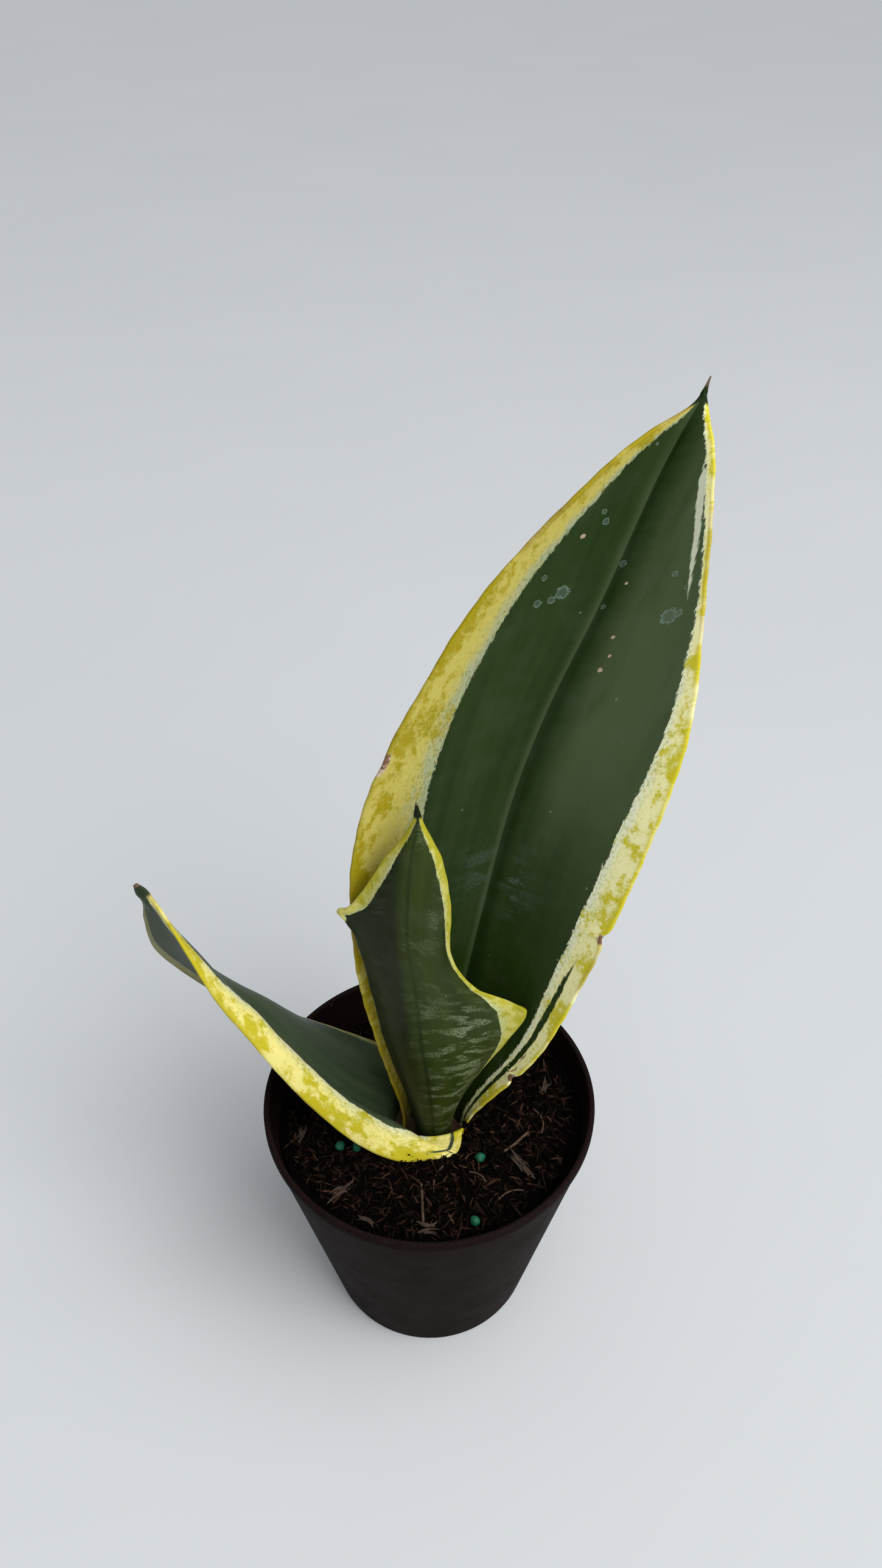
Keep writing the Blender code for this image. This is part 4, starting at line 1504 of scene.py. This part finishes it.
class LitterTree:
    """The Geometry Nodes that strew one kind of grit over a surface."""

    def __init__(self, grit: Grit, material: Material) -> None:
        """Build the tree.

        Args:
            grit: The shape that is strewn.
            material: The material that the result takes.
        """
        self.graph, given, out = new_group(f"strew_{grit.value}", "GeometryNodeTree", [
            ("Geometry", GEOMETRY), ("Density", FLOAT, 1.0), ("Seed", "NodeSocketInt", 1),
            ("Smallest", VECTOR), ("Largest", VECTOR), ("Tilt", FLOAT, 0.5), ("Lift", FLOAT, 0.0),
        ], [("Geometry", GEOMETRY)])
        g = self.graph
        grain = self._crumb(g) if grit is Grit.CRUMB else self._shred(g)
        points = g.add("GeometryNodeDistributePointsOnFaces", {
            "Mesh": given["Geometry"], "Density": given["Density"],
            "Seed": given["Seed"],
        })
        tilt = given["Tilt"]
        back = g.times(tilt, -1.0)
        low = g.add("ShaderNodeCombineXYZ", {0: back, 1: back})
        high = g.add("ShaderNodeCombineXYZ", {0: tilt, 1: tilt, 2: 2 * math.pi})
        turn = self._random(g, "FLOAT_VECTOR", low.outputs[0], high.outputs[0], given["Seed"])
        second = g.plus(given["Seed"], 7.0)
        size = self._random(g, "FLOAT_VECTOR", given["Smallest"], given["Largest"], second)
        strewn = g.add("GeometryNodeInstanceOnPoints", {
            "Points": points.outputs["Points"], "Instance": grain, "Rotation": turn, "Scale": size,
        })
        third = g.plus(given["Seed"], 19.0)
        tone = self._random(g, "FLOAT", 0.0, 1.0, third)
        stored = g.add("GeometryNodeStoreNamedAttribute", {
            "Geometry": strewn.outputs[0], "Name": "tone",
        }, data_type="FLOAT", domain="INSTANCE")
        g.feed(stored.inputs["Value"], tone)
        rise = g.add("ShaderNodeCombineXYZ", {2: given["Lift"]})
        lifted = g.add("GeometryNodeTranslateInstances", {
            "Instances": stored.outputs[0], "Translation": rise.outputs[0], "Local Space": False,
        })
        real = g.add("GeometryNodeRealizeInstances", {"Geometry": lifted.outputs[0]})
        dressed = g.add("GeometryNodeSetMaterial", {"Geometry": real.outputs[0], "Material": material})
        g.feed(out[0], dressed.outputs[0])

    @staticmethod
    def _random(g: Graph, kind: str, low: Feed, high: Feed, seed: Feed) -> Socket:
        """Return a random value between two bounds, of one kind.

        Args:
            g: The tree's graph.
            kind: The data type.
            low: The lower bound.
            high: The upper bound.
            seed: The seed.

        Returns:
            The value.
        """
        node = g.add("FunctionNodeRandomValue", data_type=kind)
        pair = [s for s in node.inputs if s.enabled and s.name in ("Min", "Max")]
        g.feed(pair[0], low)
        g.feed(pair[1], high)
        g.feed(next(s for s in node.inputs if s.name == "Seed"), seed)
        return next(s for s in node.outputs if s.enabled)

    def _crumb(self, g: Graph) -> Socket:
        """Return one angular crumb of unit radius.

        Args:
            g: The tree's graph.

        Returns:
            The crumb's geometry.
        """
        ball = g.add("GeometryNodeMeshIcoSphere", {"Radius": 1.0, "Subdivisions": 1})
        jolt = self._random(g, "FLOAT_VECTOR", (-0.28,) * 3, (0.28,) * 3, 5)
        crumb = g.add("GeometryNodeSetPosition", {"Geometry": ball.outputs[0], "Offset": jolt})
        return crumb.outputs[0]

    @staticmethod
    def _shred(g: Graph) -> Socket:
        """Return one bent, tapered shred of unit half length along X.

        Args:
            g: The tree's graph.

        Returns:
            The shred's geometry.
        """
        bar = g.add("GeometryNodeMeshCube", {
            "Size": (2.0, 2.0, 2.0), "Vertices X": 5, "Vertices Y": 2, "Vertices Z": 2,
        })
        axes = g.add("ShaderNodeSeparateXYZ", {0: g.add("GeometryNodeInputPosition").outputs[0]})
        x = axes.outputs[0]
        square = g.times(x, x)
        slim = g.minus(1.0, g.times(square, 0.75))
        y = g.times(axes.outputs[1], slim)
        y = g.plus(y, g.times(square, 1.1))
        z = g.plus(g.times(axes.outputs[2], slim), g.times(square, -0.9))
        bent = g.add("ShaderNodeCombineXYZ", {0: x, 1: y, 2: z})
        return g.add("GeometryNodeSetPosition", {
            "Geometry": bar.outputs[0], "Position": bent.outputs[0],
        }).outputs[0]

    def strew(self, ground: Mesh, litter: Litter) -> Mesh:
        """Return the litter as a plain mesh.

        Args:
            ground: The surface that it lies on.
            litter: What is strewn and how.

        Returns:
            One mesh of all the pieces.
        """
        item = linked(litter.name, ground)
        modifier = item.modifiers.new("strew", "NODES")
        modifier.node_group = self.graph.tree
        largest = tuple(side * MM for side in litter.size_mm)
        values = {
            "Density": litter.per_square_mm / MM ** 2, "Seed": litter.seed,
            "Smallest": tuple(side * litter.least for side in largest), "Largest": largest,
            "Tilt": math.radians(litter.tilt_degrees), "Lift": litter.lift_mm * MM,
        }
        for socket in self.graph.tree.interface.items_tree:
            if socket.name in values and socket.in_out == "INPUT":
                modifier[socket.identifier] = values[socket.name]
        return baked_mesh(item, litter.name)


@dataclass
class Mix:
    """The potting mix: the CAD body dressed, with crumbs, shreds, fibres and hairs strewn on it."""

    inside_radius: float
    lowest_top: float = 0.0697
    steepest: float = 0.35

    def ground(self, gap_mm: float) -> Mesh:
        """Return the open top of the mix, kept back from the pot's wall by a gap.

        Args:
            gap_mm: The gap.

        Returns:
            The surface.
        """
        shape = opened(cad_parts["soil"].data)
        bmesh.ops.remove_doubles(shape, verts=shape.verts, dist=MERGE)
        reach = self.inside_radius - gap_mm * MM
        for vertex in shape.verts:
            distance = math.hypot(vertex.co.x, vertex.co.y)
            if distance > reach and vertex.co.z > self.lowest_top:
                vertex.co.x *= reach / distance
                vertex.co.y *= reach / distance
        shape.normal_update()
        buried = [
            f for f in shape.faces
            if f.calc_center_median().z < self.lowest_top or f.normal.z < self.steepest
        ]
        bmesh.ops.delete(shape, geom=buried, context="FACES")
        return closed(shape, "mix_top")

    def material(
        self, effects: Effects, name: str, dark: Colour, pale: Colour, toned: bool = True,
    ) -> Material:
        """Return a coco-peat finish.

        Args:
            effects: The shared effects.
            name: The material's name.
            dark: Its darkest colour.
            pale: Its lightest colour.
            toned: Whether each strewn piece has a tone of its own.

        Returns:
            The material.
        """
        finish = Finish(name, roughness=0.9, specular=0.03)
        g, _, grain = finish.grained(effects, 0.7, 3.5)
        shade = g.step(grain["Fine"], 0.3, 0.75)
        if toned:
            shade = g.times(g.math("POWER", finish.attribute("tone"), 4.0), shade)
            shade = g.plus(shade, g.times(grain["Broad"], 0.12))
        finish.colour(g.mix(shade, dark, pale))
        finish.relief(grain["Fine"], 0.35, 0.8)
        finish.relief(grain["Broad"], 0.8, 0.6)
        return finish.material

    def build(self, effects: Effects) -> None:
        """Dress the mix and strew its litter.

        Args:
            effects: The shared effects.
        """
        peat = ((0.0009, 0.0007, 0.0007), (0.0036, 0.0022, 0.0018))
        dress("soil", self.material(effects, "mix_peat", *peat, toned=False))
        crumbs = self.material(effects, "mix_crumb", (0.0011, 0.0008, 0.0008), (0.010, 0.0054, 0.0038))
        shreds = self.material(effects, "mix_shred", (0.0018, 0.0012, 0.0010), (0.120, 0.062, 0.038))
        trees = {
            Grit.CRUMB: (LitterTree(Grit.CRUMB, crumbs), crumbs),
            Grit.SHRED: (LitterTree(Grit.SHRED, shreds), shreds),
        }
        for litter in LITTER:
            tree, material = trees[litter.grit]
            mesh = tree.strew(self.ground(litter.rim_gap_mm), litter)
            piece = add_piece(litter.name, mesh, material, smooth=False)
            settle(piece, "soil")


def dress(node: str, material: Material) -> None:
    """Give a CAD node a material.

    Args:
        node: The node's name.
        material: The material.
    """
    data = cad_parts[node].data
    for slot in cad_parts[node].material_slots:
        slot.material = material
    if not data.materials:
        data.materials.append(material)
    LOG.info("%s dressed as %s", node, material.name)


# ------------------------------------------------------------------ rootstock and scraps
SPLINTER_SECTION = ((1, 0), (0.5, 1), (-0.5, 1), (-1, 0), (-0.5, -1), (0.5, -1))


@dataclass
class Extras:
    """The rootstock, the feed pellets and the straws, fibres and flakes on the mix."""

    effects: Effects
    pellet_radius: float = 0.0015
    sheaf: int = 7

    def fibrous(self, name: str, dark: Colour, pale: Colour, scale: float) -> Material:
        """Return a dry fibrous finish between two colours.

        Args:
            name: The material's name.
            dark: Its darkest colour.
            pale: Its lightest colour.
            scale: The broad grain per mm.

        Returns:
            The material.
        """
        finish = Finish(name, 0.85)
        g, _, grain = finish.grained(self.effects, scale, 6 * scale)
        both = g.times(g.plus(grain["Broad"], grain["Fine"]), 0.5)
        finish.colour(g.mix(g.step(both, 0.36, 0.64), dark, pale))
        finish.relief(grain["Fine"], 0.12, 0.8)
        return finish.material

    def pellet_material(self, name: str, colour: Colour) -> Material:
        """Return a coated feed pellet's finish, dirty with mix.

        Args:
            name: The material's name.
            colour: The coat's colour.

        Returns:
            The material.
        """
        finish = Finish(name, specular=0.25)
        g, place, grain = finish.grained(self.effects, 0.9, 5.0)
        film = g.group(self.effects.dust, {"Place": place, "Scale": 0.8, "Amount": 0.6})
        tone = g.mix(grain["Broad"], tuple(0.55 * c for c in colour), colour)
        finish.colour(g.mix(film["Film"], tone, (0.035, 0.022, 0.015)))
        finish.relief(grain["Fine"], 0.12, 0.7)
        return finish.material

    def pellets(self) -> None:
        """Build the pellets as uneven beads in place of the plain ones."""
        green = self.pellet_material("pellet_green", (0.002, 0.135, 0.066))
        dark = self.pellet_material("pellet_dark", (0.010, 0.045, 0.032))
        names = sorted(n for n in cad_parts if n.startswith("pellet_"))
        for index, node in enumerate(names):
            low, high = (Vector(corner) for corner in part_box(node))
            shape = bmesh.new()
            bmesh.ops.create_icosphere(shape, subdivisions=4, radius=self.pellet_radius)
            for vertex in shape.verts:
                x, y, z = vertex.co / self.pellet_radius
                lump = math.sin(3 * x + index) * math.sin(3 * y + 2 * index) * math.sin(3 * z + 1)
                vertex.co *= 0.94 + 0.16 * lump
            bmesh.ops.translate(shape, verts=shape.verts, vec=(low + high) / 2)
            mesh = closed(shape, f"feed_{node}")
            last = index == len(names) - 1
            settle(add_piece(mesh.name, mesh, dark if last else green), "pellet", node)

    def splinters(self, node: str, bark: Material) -> None:
        """Build a torn flake in place of the plain one: a sheaf of bent splinters.

        Args:
            node: The plain flake's node.
            bark: The material.
        """
        points = np.array([v.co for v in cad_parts[node].data.vertices])
        centre = points.mean(axis=0)
        along, across = np.linalg.svd(points - centre, full_matrices=False)[2][:2]
        reach = np.abs((points - centre) @ along).max()
        width = np.abs((points - centre) @ across).max()
        chance = np.random.default_rng(sum(map(ord, node)))
        shape = bmesh.new()
        for _ in range(self.sheaf):
            turn = chance.normal(0, 0.14)
            run = unit(along * math.cos(turn) + across * math.sin(turn))
            aside = unit(np.cross((0, 0, 1), run))
            half = reach * chance.uniform(0.35, 0.95)
            thick = MM * chance.uniform(0.10, 0.22)
            wide = MM * chance.uniform(0.22, 0.55)
            middle = centre + across * width * chance.uniform(-0.8, 0.8)
            middle = middle + along * reach * chance.uniform(-0.3, 0.3)
            middle[2] += MM * chance.uniform(0.0, 0.5)
            bend, slope = chance.normal(0, 0.5 * MM), chance.normal(0, 0.12)
            rings = []
            for step in np.linspace(-1, 1, 7):
                slim = math.sqrt(max(1 - 0.9 * step * step, 0.05))
                point = middle + run * half * step + aside * bend * step * step
                point[2] += half * slope * step
                rings.append([
                    shape.verts.new(point + aside * wide * slim * x + np.array((0, 0, thick * slim * z)))
                    for x, z in SPLINTER_SECTION
                ])
            for low, high in zip(rings, rings[1:]):
                for corner in range(len(low)):
                    after = (corner + 1) % len(low)
                    shape.faces.new((low[corner], low[after], high[after], high[corner]))
            shape.faces.new(reversed(rings[0]))
            shape.faces.new(rings[-1])
        bmesh.ops.recalc_face_normals(shape, faces=shape.faces)
        mesh = closed(shape, f"torn_{node}")
        settle(add_piece(mesh.name, mesh, bark), "bark", node)

    def build(self) -> None:
        """Dress the rootstock and the scraps, and build the pellets."""
        root = self.fibrous("root_skin", (0.030, 0.018, 0.010), (0.120, 0.066, 0.034), 0.3)
        straw = self.fibrous("dry_straw", (0.028, 0.015, 0.009), (0.100, 0.055, 0.032), 0.5)
        bark = self.fibrous("bark_flake", (0.014, 0.008, 0.005), (0.062, 0.033, 0.020), 0.5)
        dress("rhizome", root)
        for node in sorted(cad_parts):
            if node.startswith(("straw_", "fibre_")):
                dress(node, straw)
            elif node.startswith("flake_"):
                self.splinters(node, bark)
        self.pellets()


# ------------------------------------------------------------------ studio
@dataclass(frozen=True)
class Lamp:
    """One soft area light."""

    name: str
    place: Point
    aim: Point
    size: float
    watts: float
    colour: Colour


@dataclass
class Studio:
    """The pale floor, the soft lights and the camera."""

    floor_radius: float = 9.0
    camera_place: Point = (0.0, -0.2203, 0.3826)
    camera_right: Point = (0.999887, -0.014990, 0.000828)
    camera_up: Point = (0.008726, 0.625136, 0.780467)
    lens_mm: float = 27.056
    sky_from: Point = (0.5, -0.45, 1.0)
    sky_strength: float = 1.7
    sky_degrees: float = 70.0
    air_colour: tuple[float, float, float, float] = (0.96, 0.98, 1.0, 1.0)
    air_strength: float = 0.36
    lamps: tuple[Lamp, ...] = (
        Lamp("window", (0.9, -0.8, 1.5), (0.0, 0.0, 0.1), 1.1, 17.0, (1.0, 0.985, 0.96)),
    )

    def floor(self) -> None:
        """Build the floor with its finish."""
        shape = bmesh.new()
        bmesh.ops.create_circle(shape, cap_ends=True, segments=96, radius=self.floor_radius)
        mesh = closed(shape, "studio_floor")
        finish = Finish("floor_paint", roughness=0.75)
        g = finish.graph
        clouds = g.noise(finish.place_mm(), 0.004, 4.0)
        finish.colour(g.mix(clouds, (0.585, 0.61, 0.635), (0.625, 0.65, 0.675)))
        finish.relief(g.noise(finish.place_mm(), 1.2, 3.0), 0.05, 0.2)
        add_piece("studio_floor", mesh, finish.material)

    def light(self) -> None:
        """Build the lamps, the open sky's soft light and the even light all round."""
        for lamp in self.lamps:
            data = bpy.data.lights.new(lamp.name, "AREA")
            data.size = lamp.size
            data.energy = lamp.watts
            data.color = lamp.colour
            item = linked(lamp.name, data)
            item.location = lamp.place
            aim = Vector(lamp.aim) - Vector(lamp.place)
            item.rotation_euler = aim.to_track_quat("-Z", "Y").to_euler()
        sun = bpy.data.lights.new("open_sky", "SUN")
        sun.energy = self.sky_strength
        sun.angle = math.radians(self.sky_degrees)
        item = linked("open_sky", sun)
        item.rotation_euler = Vector(self.sky_from).to_track_quat("Z", "Y").to_euler()
        world = bpy.context.scene.world or bpy.data.worlds.new("studio_world")
        bpy.context.scene.world = world
        world.use_nodes = True
        air = world.node_tree.nodes["Background"]
        air.inputs["Color"].default_value = self.air_colour
        air.inputs["Strength"].default_value = self.air_strength
        bpy.context.scene.view_settings.view_transform = "Standard"

    def camera(self) -> None:
        """Build the camera."""
        data = bpy.data.cameras.new("camera")
        data.sensor_width = 36.0
        data.lens = self.lens_mm
        data.clip_start = 0.01
        item = linked("camera", data)
        right = Vector(self.camera_right).normalized()
        up = Vector(self.camera_up)
        back = right.cross(up).normalized()
        up = back.cross(right)
        turn = Matrix((right, up, back)).transposed().to_4x4()
        item.matrix_world = Matrix.Translation(self.camera_place) @ turn
        bpy.context.scene.camera = item

    def build(self) -> None:
        """Build the whole studio."""
        self.floor()
        self.light()
        self.camera()


def main() -> None:
    """Build every piece in order."""
    logging.basicConfig(level=logging.INFO, format="%(message)s")
    effects = Effects()
    Studio().build()
    low, high = (Vector(corner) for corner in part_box("pot"))
    Pot(rim_radius=(high.x - low.x) / 2, height=high.z).build(effects)
    soil_low, soil_high = (Vector(corner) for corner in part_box("soil"))
    Mix(inside_radius=(soil_high.x - soil_low.x) / 2).build(effects)
    for leaf in leaves():
        leaf.build(effects)
    Extras(effects).build()


if __name__ == "__main__":
    main()
